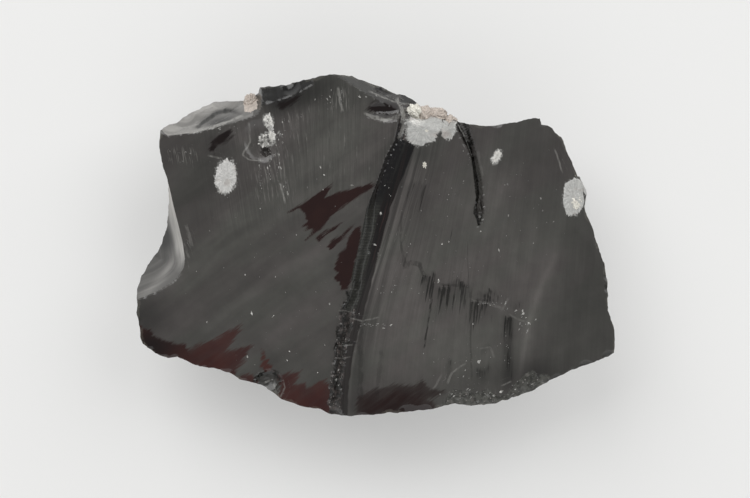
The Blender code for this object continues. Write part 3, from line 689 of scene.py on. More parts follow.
RIGHT_SWEEPS = [
    (-0.30, 1.0, [(-0.9, -7.0), (-1.5, -12.0), (-2.3, -17.0), (-2.6, -22.0)]),
    (0.22, 1.0, [(19.4, 10.8), (17.4, 7.2), (15.0, 2.0)]),
    (-0.10, 0.8, [(10.6, 4.0), (11.8, -0.5), (11.4, -4.0)]),
    (0.10, 1.2, [(16.4, 6.0), (18.8, 0.0), (19.0, -5.0)]),
    (0.36, 1.3, EDGE_STREAK),
    (0.36, 0.34, EDGE_STREAK),
    (0.15, 1.5, [(2.2, -1.0), (1.6, -8.0), (0.8, -14.5)]),
    (0.18, 0.9, [(25.6, -3.0), (24.6, -7.0), (23.4, -11.0), (22.4, -15.0)]),
    (0.06, 0.5, [(24.0, -15.5), (30.0, -11.5)]),
]


def painted_sheen_on_front(x, y):
    """How pale the painted sheen is: 1 on the left face, with its broad sweeps, and more or less
    elsewhere.
    """
    on_left = 1.0 - smooth_step(-0.2, 0.3, band_place(x, y))
    left = 0.92 + 0.14 * smooth_step(0.0, 12.0, y) * smooth_step(-19.0, -11.0, x)
    left = left + marks(x, y, LEFT_PATCHES, LEFT_SWEEPS)
    left = left - 0.45 * soft_spot(x, y, *RINGED_CHIP[:2], 2.2, 1.9) ** 2
    edge = np.interp(y, [-19.0, -8.0, 0.0, 6.0], [20.0, 21.9, 25.0, 27.0])
    right = 0.98 - 0.16 * smooth_step(6.0, 13.0, y) - 0.14 * smooth_step(-15.0, -19.0, y)
    right = right - 0.22 * smooth_step(-0.8, 1.8, x - edge) - 0.34 * hanging(x, y, DARK_STROKES)
    right = right + marks(x, y, RIGHT_PATCHES, RIGHT_SWEEPS)
    return on_left * left + (1.0 - on_left) * right


def scratched_on_front(x, y):
    """How much the fine striations show: most on the upper left and beside the band."""
    place = band_place(x, y)
    left = 0.04 + 0.80 * smooth_step(3.0, 9.0, y - 0.2 * x) * smooth_step(-28.0, -18.0, x)
    right = 0.25 + 0.75 * np.exp(-np.maximum(place - 1.0, 0.0) / 5.0) * smooth_step(-20.0, -4.0, y)
    right = right + 0.30 * soft_spot(x, y, 11.0, -7.0, 5.0, 4.0)
    return np.where(place < 0.5, left, right)


def nearest_line(x, y, lines):
    """For the nearest of some lines: how far off it a point is, in half widths, and how much it shows."""
    offset = np.full(x.shape, 9.0)
    strength = np.zeros(x.shape)
    nearest = np.full(x.shape, 0.75)
    for ax, ay, bx, by, half_width, shade in lines:
        length = math.hypot(bx - ax, by - ay)
        along = ((x - ax) * (bx - ax) + (y - ay) * (by - ay)) / length
        across = ((x - ax) * (by - ay) - (y - ay) * (bx - ax)) / length
        beyond = np.maximum(np.maximum(-along, along - length), 0.0)
        away = np.hypot(across, beyond)
        closer = away < nearest
        ends = np.clip(1.0 - beyond / 0.25, 0.0, 1.0)
        offset = np.where(closer, across / half_width, offset)
        strength = np.where(closer, shade * ends * np.clip((0.75 - away) / 0.25, 0.0, 1.0), strength)
        nearest = np.where(closer, away, nearest)
    return offset, strength


x, y, z = stone_points[:, 0], stone_points[:, 1], stone_points[:, 2]
on_front = np.arange(len(stone_points)) < 1 + FRONT_ROWS * columns
to_rim = np.hypot(front_x[-1] - MIDDLE[0], front_y[-1] - MIDDLE[1])
front_gap = to_rim[None, :] * (1.0 - share)[:, None]
rim_gap = np.concatenate([[30.0], front_gap.ravel(), np.ones(columns * len(down)), [30.0]])
round_all = np.concatenate([[0.0], np.tile(round_rim, FRONT_ROWS + len(down)), [0.0]])


def deepest(x, y, shapes):
    """Signed distance to the edge of some shapes together: above 0 inside any of them."""
    depth = np.full(x.shape, -9.0)
    for shape in shapes:
        depth = np.maximum(depth, depth_inside(x, y, shape))
    return depth


red = deepest(x, y, RED_FLAMES)
flame = np.maximum(red, deepest(x, y, FLAMES))
flame = flame * np.where((y > 12.0) | (y < -10.0), 0.45, 0.8)
under_flame = 1.5 * waves(x + 0.6 * z, 1.7 * z + 0.4 * y, 11.0, 71) - 1.25
flame = np.where(on_front, flame, np.maximum(under_flame, flame - 0.8 * np.abs(z - 15.0)))
low_flames = (y < -10.0) & (x < -4.0)
flame_shade = np.where(y > 12.0, 0.25, np.where(low_flames, 2.2, np.where(y < -17.0, 0.60, 0.95)))
flame_shade = flame_shade * (1.0 - 0.85 * soft_spot(x, y, -30.5, -13.8, 4.8, 3.4))
flame_cover = np.where(low_flames, 0.70, np.where(y < -17.0, 0.40, 1.0))
flame_cover = np.where(x < -25.5, 0.95, flame_cover)

band = np.where(on_front, np.clip(band_place(x, y), -4.0, 40.0), -4.0)
guide = np.polynomial.Polynomial.fit(BAND_Y, BAND_RIGHT, 3)(y)
follow = np.where(band > 0.0, np.exp(-np.maximum(band - 1.0, 0.0) / 18.0), 0.0)
fan = 0.15 * smooth_step(4.0, 14.0, -x - 2.0) * (band < 0.0)
across_grain = np.where(on_front, x - follow * guide + fan * y, round_all)
along_grain = np.where(on_front, y, 1.6 * z)

scar_z, from_edge = scar_height(x, y)
scar_depth = front_height(x, y, SCAR_EDGE) - scar_z
facet_z = facet_height(UPPER_LEFT_FACET, x, y)
facet_depth = np.minimum(front_height(x, y, UPPER_LEFT_FACET) - facet_z, 1.4 * (-16.6 - x))
in_scar = scar_depth > facet_depth
inwards = 0.05 + 1.4 * smooth_step(-4.2, -0.8, y) + 0.25 * smooth_step(-28.5, -31.5, x)
fading = 0.05 * smooth_step(-0.15, 0.0, from_edge) + from_edge * inwards
scar_depth = np.where(in_scar, np.minimum(scar_depth, fading), scar_depth)
# Where the painted satin sheen lies, on the side scar and the upper left facet: across and along it, and
# how far it lies under the front.
painted_satin = np.stack([np.where(in_scar, from_edge, 0.5 * (16.5 - z)), np.where(in_scar, y, x + 60.0),
                  np.where(on_front, np.clip(np.maximum(scar_depth, facet_depth), -0.6, 0.6), -0.6)],
                 axis=-1)
# Painted light on the side scar and the upper left facet.  The scar's painted satin sheen is brightest in
# a strip along its inner edge, with pale painted streaks and a darker spot; the facet has a painted light
# strip along its outer edge, a painted dark fold and patches of painted shade.
SCAR_SWEEPS = [
    (0.09, 0.55, [(-26.9, 3.0), (-27.2, 0.4), (-27.9, -2.2), (-29.4, -4.4), (-31.2, -6.2),
                  (-33.0, -7.4)]),
    (0.12, 0.35, [(-26.4, 0.4), (-26.5, -1.6), (-27.0, -3.4)]),
]
FACET_PATCHES = [(-22.3, 16.9, 2.0, 0.75, -0.15), (-20.4, 17.4, 2.6, 1.7, -0.10)]
FACET_SWEEPS = [
    (0.06, 0.6, [(-27.5, 16.9), (-24.5, 18.9), (-21.0, 19.8)]),
    (-0.15, 0.30, [(-24.8, 16.0), (-23.0, 17.6), (-21.8, 18.6), (-20.2, 18.8), (-18.4, 18.0)]),
]
near_edge = (1.0 - smooth_step(0.1, 1.9, from_edge)) * smooth_step(-3.4, 0.6, y)
scar_painted_sheen = 0.080 + 0.30 * near_edge + 0.05 * smooth_step(0.0, 6.0, y)
scar_painted_sheen = scar_painted_sheen + marks(x, y, [(-29.2, 1.3, 1.1, 1.9, -0.09)], SCAR_SWEEPS)
facet_painted_light = 0.28 - 0.06 * smooth_step(-20.0, -27.0, x) - 0.10 * smooth_step(-23.5, -20.0, x)
facet_painted_light = facet_painted_light + marks(x, y, FACET_PATCHES, FACET_SWEEPS)
# Painted shade: the haze's painted sheen is dimmed on the crest's left facet, the crest bevel and the
# flake scars near the rim, which mirror a darker part of the room.
crest_depth = front_height(x, y, CREST_LEFT_FACET) - facet_height(CREST_LEFT_FACET, x, y)
bevel_depth = front_height(x, y, CREST_BEVEL) - facet_height(CREST_BEVEL, x, y)
sheen_dimmed_on_facets = ((1.0 - 0.82 * smooth_step(-0.25, 0.1, crest_depth))
                * (1.0 - 0.45 * smooth_step(-0.1, 0.2, bevel_depth))
                * (1.0 - 0.60 * smooth_step(0.02, 0.15, front_height(x, y) - fine_front(x, y))
                   * (rim_gap < 4.0) * (crumble_zone(x, y) < 0.2)))
frost = np.zeros(len(x))
for fx, fy, wide, high, turn in FROSTED_SPOTS:
    along, across = along_and_across(x, y, fx, fy, turn)
    away = (np.abs(along / wide) ** SQUARENESS + np.abs(across / high) ** SQUARENESS) ** (1 / SQUARENESS)
    frost = np.maximum(frost, 1.0 - smooth_step(0.80, 1.34, away))

for name, values in {
    "mahogany": np.clip(flame, -3.0, 3.0),
    "red_mahogany": np.clip(red, -3.0, 3.0),
    "mahogany_shade": flame_shade,
    "band": band,
    "grain": np.stack([across_grain, along_grain, 0.3 * z], axis=-1),
    "painted_satin": painted_satin,
    "painted_satin_light": np.clip(np.where(in_scar, scar_painted_sheen, facet_painted_light), 0.02, 0.6),
    "side": 1.0 * ~on_front,
    "rim_gap": rim_gap,
    "scratched": np.where(on_front, scratched_on_front(x, y), 0.5),
    # The haze: how bright the painted sheen is, dimmer on the sides.
    "painted_sheen": np.where(on_front, painted_sheen_on_front(x, y) * sheen_dimmed_on_facets, 0.26),
    "crumble": on_front * crumble_zone(x, y),
    "frost": on_front * frost,
    "strokes": np.stack([on_front * hanging(x, y, DARK_STROKES), on_front * crowd(x, y, PALE_STROKES),
                         flame_cover], axis=-1),
}.items():
    add_attribute(stone, name, values)
for name, lines in (("scratches_and_painted_creases", SCRATCHES_AND_PAINTED_CREASES), ("crack", CRACK_LINES), ("sheen", CRACK_SHEEN)):
    off, show = nearest_line(x, y, lines)
    add_attribute(stone, name, np.stack([np.where(on_front, off, 9.0), on_front * show, 0 * x], axis=-1))


def shader(tree, kind, sockets=(), **settings):
    """One shader node.  Settings are its options; sockets gives a value or a link for its inputs."""
    made = tree.nodes.new(kind)
    for option, value in settings.items():
        setattr(made, option, value)
    for place, value in dict(sockets).items():
        if isinstance(value, bpy.types.NodeSocket):
            tree.links.new(value, made.inputs[place])
        else:
            made.inputs[place].default_value = value
    return made


def maths(tree, operation, *values, clamp=False):
    """The result of one sum, held between 0 and 1 where clamp is set."""
    made = shader(tree, "ShaderNodeMath", enumerate(values), operation=operation, use_clamp=clamp)
    return made.outputs[0]


def ramp(tree, value, low, high, start=0.0, end=1.0):
    """A soft step: start below low, end above high."""
    return shader(tree, "ShaderNodeMapRange", {0: value, 1: low, 2: high, 3: start, 4: end},
                  interpolation_type="SMOOTHSTEP").outputs[0]


def times(tree, value, *factors):
    """The product of some values."""
    for factor in factors:
        value = maths(tree, "MULTIPLY", value, factor)
    return value


def plus(tree, value, *others):
    """The sum of some values."""
    for other in others:
        value = maths(tree, "ADD", value, other)
    return value


def blend_values(tree, amount, below, above):
    """A value between two others, by a share from 0 to 1."""
    return shader(tree, "ShaderNodeMix", {0: amount, 2: below, 3: above}, data_type="FLOAT").outputs[0]


def blend_colours(tree, amount, below, above):
    """One colour laid over another by a share from 0 to 1."""
    below, above = ((*colour, 1.0) if isinstance(colour, tuple) else colour for colour in (below, above))
    return shader(tree, "ShaderNodeMix", {0: amount, 6: below, 7: above}, data_type="RGBA").outputs[2]


def scaled(tree, colour, amount):
    """A colour made brighter or darker."""
    return shader(tree, "ShaderNodeVectorMath", {0: colour, 3: amount}, operation="SCALE").outputs[0]


def parts_of(tree, place):
    """The three numbers of a place."""
    return shader(tree, "ShaderNodeSeparateXYZ", {0: place}).outputs


def stretched(tree, place, stretch, move=(0.0, 0.0, 0.0)):
    """A place scaled by three numbers, to draw a pattern out along one of its directions."""
    return shader(tree, "ShaderNodeMapping", {0: place, 1: move, 3: stretch}).outputs[0]


def turned(tree, place, degrees):
    """A place turned about the upright axis, so that a pattern stretched afterwards runs on a slant."""
    return shader(tree, "ShaderNodeMapping", {0: place, 2: (0.0, 0.0, math.radians(degrees))}).outputs[0]


def cloudy(tree, place, scale, detail=2.0, rough=0.5):
    """Noise of about one blot to a unit of place over scale, from 0 to 1."""
    return shader(tree, "ShaderNodeTexNoise",
                  {"Vector": place, "Scale": scale, "Detail": detail, "Roughness": rough}).outputs[0]


def streaks(tree, place, stretch, detail, rough, move=(0.0, 0.0, 0.0)):
    """Noise drawn out along one direction of a place."""
    return cloudy(tree, stretched(tree, place, stretch, move), 1.0, detail, rough)


def read_attribute(tree, name, output="Fac"):
    """What a piece holds under a name: a number, or a place."""
    return shader(tree, "ShaderNodeAttribute", attribute_name=name).outputs[output]


def new_material(name):
    """A material, its shader nodes, and the inputs of its Principled shader."""
    material = bpy.data.materials.new(name)
    material.use_nodes = True
    return material, material.node_tree, material.node_tree.nodes["Principled BSDF"].inputs


def start_group(name, inputs, outputs):
    """An empty group of shader nodes with named inputs (name: kind) and outputs."""
    group = bpy.data.node_groups.new(name, "ShaderNodeTree")
    for label, kind in inputs.items():
        group.interface.new_socket(label, in_out="INPUT", socket_type=kind)
    for label, kind in outputs.items():
        group.interface.new_socket(label, in_out="OUTPUT", socket_type=kind)
    entry = group.nodes.new("NodeGroupInput")
    leave = group.nodes.new("NodeGroupOutput")
    return group, entry.outputs, leave.inputs


def use_group(tree, group, sockets):
    """A group placed in a material with its own values."""
    return shader(tree, "ShaderNodeGroup", sockets, node_tree=group).outputs


FLOAT, VECTOR = "NodeSocketFloat", "NodeSocketVector"

# Crushed glass: sharp pale grains, and their height.
crushed, crushed_in, crushed_out = start_group(
    "crushed_glass", {"Place": VECTOR, "Pitch": FLOAT, "Amount": FLOAT},
    {"Grains": FLOAT, "Height": FLOAT})
per_unit = maths(crushed, "DIVIDE", 1.0, crushed_in["Pitch"])
cells = shader(crushed, "ShaderNodeTexVoronoi", {"Vector": crushed_in["Place"], "Scale": per_unit})
shade = shader(crushed, "ShaderNodeSeparateColor", {0: cells.outputs["Color"]})
pick = maths(crushed, "SUBTRACT", shade.outputs[0], maths(crushed, "SUBTRACT", 1.0, crushed_in["Amount"]))
near_core = ramp(crushed, cells.outputs["Distance"], 0.45, 0.20)
crushed.links.new(times(crushed, ramp(crushed, pick, 0.0, 0.1), near_core), crushed_out["Grains"])
crushed.links.new(times(crushed, shade.outputs[1], near_core), crushed_out["Height"])

# Colours of the hazed and the clear glass, and of what lies on them.  The haze is a painted sheen: its
# greys stand in for the bright ceiling mirrored in the faces.
COOL_PAINTED_SHEEN, WARM_PAINTED_SHEEN = (0.056, 0.055, 0.05), (0.0595, 0.0545, 0.0518)
BLACK_STROKE_GLASS, TORN_GLASS = (0.007, 0.007, 0.006), (0.2, 0.195, 0.18)
CLEAR_LINE, PALE_LINE = (0.004, 0.004, 0.003), (0.24, 0.235, 0.22)
DARK_MAHOGANY, BROWN_MAHOGANY, RED_MAHOGANY = (
    (0.0135, 0.0032, 0.0028), (0.018, 0.005, 0.004), (0.043, 0.0105, 0.0075))
DARK_RIB, PALE_RIB = (0.003, 0.0028, 0.0034), (0.032, 0.033, 0.028)
BLACK_LANE, BROWN_LANE = (0.002, 0.0018, 0.0022), (0.01, 0.0065, 0.006)
FOOT_LANE, TOP_LANE, PINK_LANE = (0.021, 0.019, 0.018), (0.011, 0.011, 0.01), (0.026, 0.013, 0.012)
DARK_CRUSH, PALE_CRUSH = (0.0045, 0.004, 0.0035), (0.056, 0.045, 0.042)
DARK_MARGIN, PALE_MARGIN = (0.02, 0.02, 0.017), (0.07, 0.07, 0.062)
SMALL_GRAIN, BIG_GRAIN = (0.26, 0.235, 0.22), (0.13, 0.118, 0.108)
WORN_EDGE, PAINTED_SATIN_TINT, PALE_NEEDLES = (0.24, 0.23, 0.19), (1.0, 0.97, 0.92), (0.34, 0.34, 0.325)

glass, tree, surface = new_material("obsidian_painted_sheen")
at = shader(tree, "ShaderNodeTexCoord").outputs["Object"]
grain = read_attribute(tree, "grain", "Vector")
bands = read_attribute(tree, "band")
strokes = parts_of(tree, read_attribute(tree, "strokes", "Vector"))
crumble = read_attribute(tree, "crumble")
painted_satin = read_attribute(tree, "painted_satin", "Vector")
in_painted_satin = ramp(tree, parts_of(tree, painted_satin)[2], -0.02, 0.1)
side = read_attribute(tree, "side")
scratched = read_attribute(tree, "scratched")
rim_gap = read_attribute(tree, "rim_gap")

# The haze, a painted sheen of mirrored ceiling light, its fine striations and its broad uneven sweeps.
fine_lines = streaks(tree, grain, (5.2, 0.16, 1.0), 3.0, 0.6)
lane_lines = streaks(tree, grain, (1.5, 0.03, 0.0), 3.0, 0.65, (7.0, 3.0, 0.0))
slant = turned(tree, at, -36.0)
sweeps = streaks(tree, slant, (45.0, 300.0, 120.0), 3.0, 0.55)
blots = cloudy(tree, at, 420.0, 3.0, 0.6)
lanes_near = ramp(tree, bands, 7.0, 1.0)
on_left_face = ramp(tree, bands, 0.3, -0.3)
line_shade = times(tree, maths(tree, "SUBTRACT", ramp(tree, fine_lines, 0.25, 0.75), 0.5), scratched)
pale = times(tree, read_attribute(tree, "painted_sheen"), maths(tree, "MULTIPLY_ADD", line_shade, 0.34, 1.0))
pale = times(tree, pale, ramp(tree, blots, 0.3, 0.7, 0.93, 1.07))
pale = times(tree, pale, blend_values(tree, times(tree, on_left_face, 0.9), 1.0,
                                      ramp(tree, sweeps, 0.32, 0.68, 0.86, 1.14)))
pale = times(tree, pale, blend_values(tree, times(tree, lanes_near, scratched,
                                                  maths(tree, "SUBTRACT", 1.0, on_left_face)), 1.0,
                                      ramp(tree, lane_lines, 0.36, 0.64, 0.55, 1.36)))
broad_lines = streaks(tree, grain, (0.6, 0.06, 0.0), 2.0, 0.55, (2.0, 9.0, 0.0))
pale = times(tree, pale, blend_values(tree, on_left_face,
                                      ramp(tree, broad_lines, 0.34, 0.66, 0.94, 1.06), 1.0))
tint_place = streaks(tree, slant, (60.0, 170.0, 100.0), 3.0, 0.6, (0.0, 4.0, 0.0))
painted_sheen_tint = blend_colours(tree, ramp(tree, tint_place, 0.36, 0.64), COOL_PAINTED_SHEEN, WARM_PAINTED_SHEEN)
colour = scaled(tree, painted_sheen_tint, pale)

# Dark strokes where the painted sheen gives way to near-black glass, and pale strokes where the glass
# tore.
stroke_noise = streaks(tree, grain, (4.6, 0.17, 1.0), 2.5, 0.5, (3.0, 11.0, 0.0))
ragged = streaks(tree, grain, (1.6, 0.26, 1.0), 2.0, 0.5, (9.0, 2.0, 0.0))
dark_stroke = plus(tree, times(tree, strokes[0], 0.36), stroke_noise)
dark_stroke = plus(tree, dark_stroke, ramp(tree, ragged, 0.3, 0.7, -0.14, 0.14))
dark_stroke = times(tree, ramp(tree, dark_stroke, 0.76, 0.98), ramp(tree, strokes[0], 0.04, 0.2))
colour = blend_colours(tree, times(tree, dark_stroke, 0.85), colour, BLACK_STROKE_GLASS)
pale_noise = streaks(tree, grain, (5.0, 0.36, 1.0), 3.0, 0.65, (17.0, 5.0, 0.0))
pale_stroke = ramp(tree, plus(tree, times(tree, strokes[1], 0.34), pale_noise), 0.76, 0.92)
colour = blend_colours(tree, times(tree, pale_stroke, 0.42), colour, TORN_GLASS)

# Single lines, each broken and wavering a little along its length.
waver = ramp(tree, cloudy(tree, at, 700.0, 2.0, 0.5), 0.3, 0.7, -0.7, 0.7)
line_break = ramp(tree, streaks(tree, grain, (2.0, 0.8, 1.0), 3.0, 0.7), 0.34, 0.56)
dark_lines = []


def lay_line(colour, name, waver_by, broken):
    """The colour with one set of lines laid on it: dark ones as clear glass, pale ones as torn glass,
    except the painted shade and painted highlight on the upper left facet.
    """
    parts = parts_of(tree, read_attribute(tree, name, "Vector"))
    off = maths(tree, "ABSOLUTE", maths(tree, "MULTIPLY_ADD", waver, waver_by, parts[0]))
    edge = times(tree, ramp(tree, off, 1.3, 0.55), ramp(tree, line_break, 0.0, 1.0, broken, 1.0))
    dark = times(tree, edge, maths(tree, "MULTIPLY", parts[1], -0.9, clamp=True))
    light = times(tree, edge, maths(tree, "MULTIPLY", parts[1], 0.85, clamp=True))
    dark_lines.append(dark)
    colour = blend_colours(tree, dark, colour, CLEAR_LINE)
    return blend_colours(tree, light, colour, PALE_LINE)


# Mahogany flames: clear glass with torn edges, brown where they are thin.
tear = streaks(tree, slant, (330.0, 3000.0, 1000.0), 4.0, 0.66)
flame_depth = plus(tree, read_attribute(tree, "mahogany"), ramp(tree, tear, 0.2, 0.8, -0.19, 0.19))
streaky = streaks(tree, slant, (160.0, 1300.0, 500.0), 3.0, 0.6)
thin_flame = times(tree, ramp(tree, flame_depth, -0.3, 0.9, 0.35, 1.0),
                   ramp(tree, streaky, 0.3, 0.6, 0.65, 1.0))
in_flame = times(tree, ramp(tree, flame_depth, -0.11, 0.15),
                 blend_values(tree, strokes[2], thin_flame, 1.0))
flame_colour = blend_colours(tree, ramp(tree, cloudy(tree, at, 300.0, 3.0), 0.35, 0.7),
                             DARK_MAHOGANY, BROWN_MAHOGANY)
flame_colour = scaled(tree, flame_colour, read_attribute(tree, "mahogany_shade"))
in_red = ramp(tree, plus(tree, read_attribute(tree, "red_mahogany"),
                         ramp(tree, tear, 0.2, 0.8, -0.3, 0.3)), -0.05, 0.12)
flame_colour = blend_colours(tree, in_red, flame_colour, RED_MAHOGANY)
colour = blend_colours(tree, in_flame, colour, flame_colour)

# The band: ribbed clear glass on its left, black on its right with one thin pinkish line.
rib_wave = shader(tree, "ShaderNodeTexWave", {
    "Vector": stretched(tree, at, (35.0, 1000.0, 200.0)), "Scale": 0.80, "Distortion": 4.5, "Detail": 2.0,
    "Detail Scale": 1.2}, wave_type="BANDS", bands_direction="Y").outputs["Fac"]
in_band = times(tree, ramp(tree, bands, -0.04, 0.03), ramp(tree, bands, 1.12, 0.96))
left_lane = ramp(tree, plus(tree, bands, ramp(tree, fine_lines, 0.3, 0.7, -0.1, 0.1)), 0.64, 0.5)
rib_blots = cloudy(tree, at, 1600.0, 3.0, 0.7)
northing = parts_of(tree, grain)[1]
rib_fade = ramp(tree, northing, 7.5, 3.5)
rib_share = times(tree, ramp(tree, rib_wave, 0.1, 0.9, 0.56, 0.88),
                  ramp(tree, rib_blots, 0.3, 0.6, 0.5, 1.0))
top_grain = times(tree, ramp(tree, rib_blots, 0.5, 0.72, 0.0, 0.28), ramp(tree, northing, 3.5, 7.5))
rib_share = maths(tree, "MULTIPLY_ADD", rib_share, rib_fade, top_grain)
rib_colour = blend_colours(tree, rib_share, DARK_RIB, PALE_RIB)
lane_colour = blend_colours(tree, ramp(tree, lane_lines, 0.4, 0.65), BLACK_LANE, BROWN_LANE)
low_lane = times(tree, ramp(tree, northing, 3.0, -7.0), ramp(tree, fine_lines, 0.3, 0.65, 0.35, 1.0))
lane_colour = blend_colours(tree, low_lane, lane_colour, FOOT_LANE)
top_lane = times(tree, ramp(tree, bands, 0.4, 0.48), ramp(tree, bands, 0.66, 0.58))
top_lane = times(tree, top_lane, ramp(tree, northing, 7.0, 10.5),
                 ramp(tree, fine_lines, 0.3, 0.6, 0.3, 1.0))
lane_colour = blend_colours(tree, top_lane, lane_colour, TOP_LANE)
pink_line = times(tree, ramp(tree, bands, 0.76, 0.81), ramp(tree, bands, 0.88, 0.83))
pink_share = times(tree, pink_line, ramp(tree, fine_lines, 0.4, 0.62), rib_fade)
lane_colour = blend_colours(tree, times(tree, pink_share, ramp(tree, northing, -4.0, 0.0)), lane_colour,
                            PINK_LANE)
band_colour = blend_colours(tree, left_lane, lane_colour, rib_colour)
colour = blend_colours(tree, in_band, colour, band_colour)

# Crushed edges, and the pale painted satin sheen of the side scar and the upper left facet.
grit = use_group(tree, crushed, {"Place": at, "Pitch": 0.00028, "Amount": 0.18})
big_grit = use_group(tree, crushed, {"Place": at, "Pitch": 0.00075, "Amount": 0.20})
crush_colour = blend_colours(tree, ramp(tree, rib_blots, 0.42, 0.66), DARK_CRUSH, PALE_CRUSH)
rough_margin = blend_colours(tree, ramp(tree, rib_blots, 0.35, 0.66), DARK_MARGIN, PALE_MARGIN)
crush_colour = blend_colours(tree, ramp(tree, bands, 2.0, 4.0), crush_colour, rough_margin)
crush_colour = blend_colours(tree, times(tree, grit["Grains"], 0.6), crush_colour, SMALL_GRAIN)
crush_colour = blend_colours(tree, times(tree, big_grit["Grains"], 0.35), crush_colour, BIG_GRAIN)
in_crumble = ramp(tree, plus(tree, crumble, ramp(tree, blots, 0.3, 0.7, -0.3, 0.3)), 0.42, 0.62)
colour = blend_colours(tree, times(tree, in_crumble, 0.85), colour, crush_colour)
edge_wear = ramp(tree, plus(tree, rim_gap, ramp(tree, blots, 0.3, 0.7, -0.3, 0.45)), 0.25, 0.05)
colour = blend_colours(tree, times(tree, edge_wear, ramp(tree, grit["Grains"], 0.0, 1.0, 0.12, 0.7)),
                       colour, WORN_EDGE)
# The painted satin sheen: a pale tint scaled by the painted light of the scar and facet, in streaks.
painted_satin_streaks = streaks(tree, painted_satin, (1.5, 0.1, 0.0), 4.0, 0.6)
painted_satin_light = times(tree, read_attribute(tree, "painted_satin_light"),
                    ramp(tree, painted_satin_streaks, 0.3, 0.7, 0.72, 1.32))
painted_satin_colour = scaled(tree, PAINTED_SATIN_TINT, painted_satin_light)
colour = blend_colours(tree, in_painted_satin, colour, painted_satin_colour)
needle_noise = cloudy(tree, at, 2600.0, 3.0, 0.7)
in_frost = ramp(tree, plus(tree, read_attribute(tree, "frost"),
                           ramp(tree, needle_noise, 0.3, 0.7, -0.4, 0.4)), 0.42, 0.95)
colour = blend_colours(tree, times(tree, in_frost, 0.75), colour, PALE_NEEDLES)
# The first set also holds painted shade and a painted highlight along the upper left facet's creases.
colour = lay_line(colour, "scratches_and_painted_creases", 0.7, 0.35)
colour = lay_line(colour, "crack", 0.6, 0.8)
colour = lay_line(colour, "sheen", 0.4, 0.4)
tree.links.new(colour, surface["Base Color"])

# Gloss: glass under the painted sheen is soft, clear glass is sharp, and crushed glass is dull.
gloss = blend_values(tree, side, maths(tree, "MULTIPLY_ADD", line_shade, 0.1, 0.22),
                     ramp(tree, blots, 0.3, 0.7, 0.06, 0.14))
clear = maths(tree, "MAXIMUM", maths(tree, "MAXIMUM", in_flame, dark_stroke), dark_lines[0])
clear = maths(tree, "MAXIMUM", clear, dark_lines[1])
for amount, roughness in ((clear, 0.06), (in_band, 0.14), (in_crumble, 0.28), (in_painted_satin, 0.38)):
    gloss = blend_values(tree, amount, gloss, roughness)
tree.links.new(gloss, surface["Roughness"])
surface["IOR"].default_value = 1.50

# Fine height: striations, ribs across the band, and broken grains.
ribbed = times(tree, in_band, left_lane, rib_fade)
rib_height = times(tree, rib_wave, ribbed, 0.16)
line_height = times(tree, fine_lines, 0.3, scratched)
grit_height = times(tree, plus(tree, grit["Height"], big_grit["Height"]), in_crumble)
fine_height = plus(tree, rib_height, line_height, grit_height)
bump = shader(tree, "ShaderNodeBump", {"Height": fine_height, "Strength": 0.55, "Distance": 0.00006})
tree.links.new(bump.outputs[0], surface["Normal"])

stone.data.materials.append(glass)
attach(stone, "root")
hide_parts("obsidian_chunk")


# ---------------------------------------------------------------------------------------------------
# The snowflakes.
# Balls of fine cristobalite needles that grew in the glass as it cooled.  The fracture cut some flush
# with the face, where they show as toothed pale discs; those on the rim stand out as sugary lumps.
# ---------------------------------------------------------------------------------------------------
PALE_GREY, COOL_GREY, CREAM = (0.50, 0.495, 0.48), (0.41, 0.41, 0.395), (0.72, 0.70, 0.63)
PINKISH, MILKY = (0.50, 0.44, 0.39), (0.62, 0.61, 0.58)
FLAKE_RINGS, FLAKE_COLUMNS = 22, 144
EDGE_LIFT, EDGE_TUCK = 0.015, 0.35

# Flush discs: x, y, half width, half height, turn, teeth, depth of the teeth, colour.
FLUSH_FLAKES = [
    (-20.4, 9.4, 1.42, 2.26, -6.0, 23, 0.20, PALE_GREY),
    (6.3, 15.7, 2.15, 2.15, 20.0, 23, 0.15, COOL_GREY),
    (5.9, 16.6, 1.25, 1.20, 50.0, 13, 0.15, MILKY),
    (8.0, 16.7, 1.30, 1.55, 10.0, 13, 0.16, COOL_GREY),
    (10.1, 15.8, 0.95, 1.55, -14.0, 11, 0.24, COOL_GREY),
    (27.2, 6.6, 1.42, 2.55, -4.0, 19, 0.10, COOL_GREY),
    (16.6, 12.0, 0.50, 0.98, -30.0, 9, 0.46, MILKY),
    (6.8, 10.9, 0.26, 0.40, 5.0, 5, 0.60, CREAM),
    (-17.1, 19.6, 1.05, 1.35, 0.0, 13, 0.14, PINKISH),
    (-14.5, 17.0, 0.62, 0.92, 8.0, 7, 0.42, MILKY),
    (-14.2, 16.0, 0.42, 0.50, 0.0, 5, 0.45, PALE_GREY),
    (-14.9, 14.4, 1.00, 0.86, 20.0, 8, 0.45, MILKY),
    (-14.1, 14.9, 0.50, 0.80, -20.0, 5, 0.50, MILKY),
]

# Lumps on the rim: x, y, how far below the front, radii, how rough, colour.
RIM_LUMPS = [
    (5.45, 18.25, -0.35, (0.98, 1.00, 0.9), 0.13, CREAM),
    (6.9, 17.9, -0.55, (1.1, 1.1, 0.9), 0.13, PINKISH),
    (8.3, 17.7, -0.60, (1.7, 1.1, 1.1), 0.14, PINKISH),
    (10.3, 16.9, -0.75, (1.0, 0.9, 1.1), 0.14, PINKISH),
    (27.35, 6.7, -1.55, (1.75, 2.75, 1.75), 0.05, COOL_GREY),
    (27.5, 5.9, -0.22, (0.85, 1.1, 0.5), 0.12, CREAM),
    (-17.1, 19.7, -0.75, (1.0, 1.30, 1.15), 0.12, PINKISH),
    (7.0, 15.5, -0.05, (0.32, 0.24, 0.22), 0.20, CREAM),
]


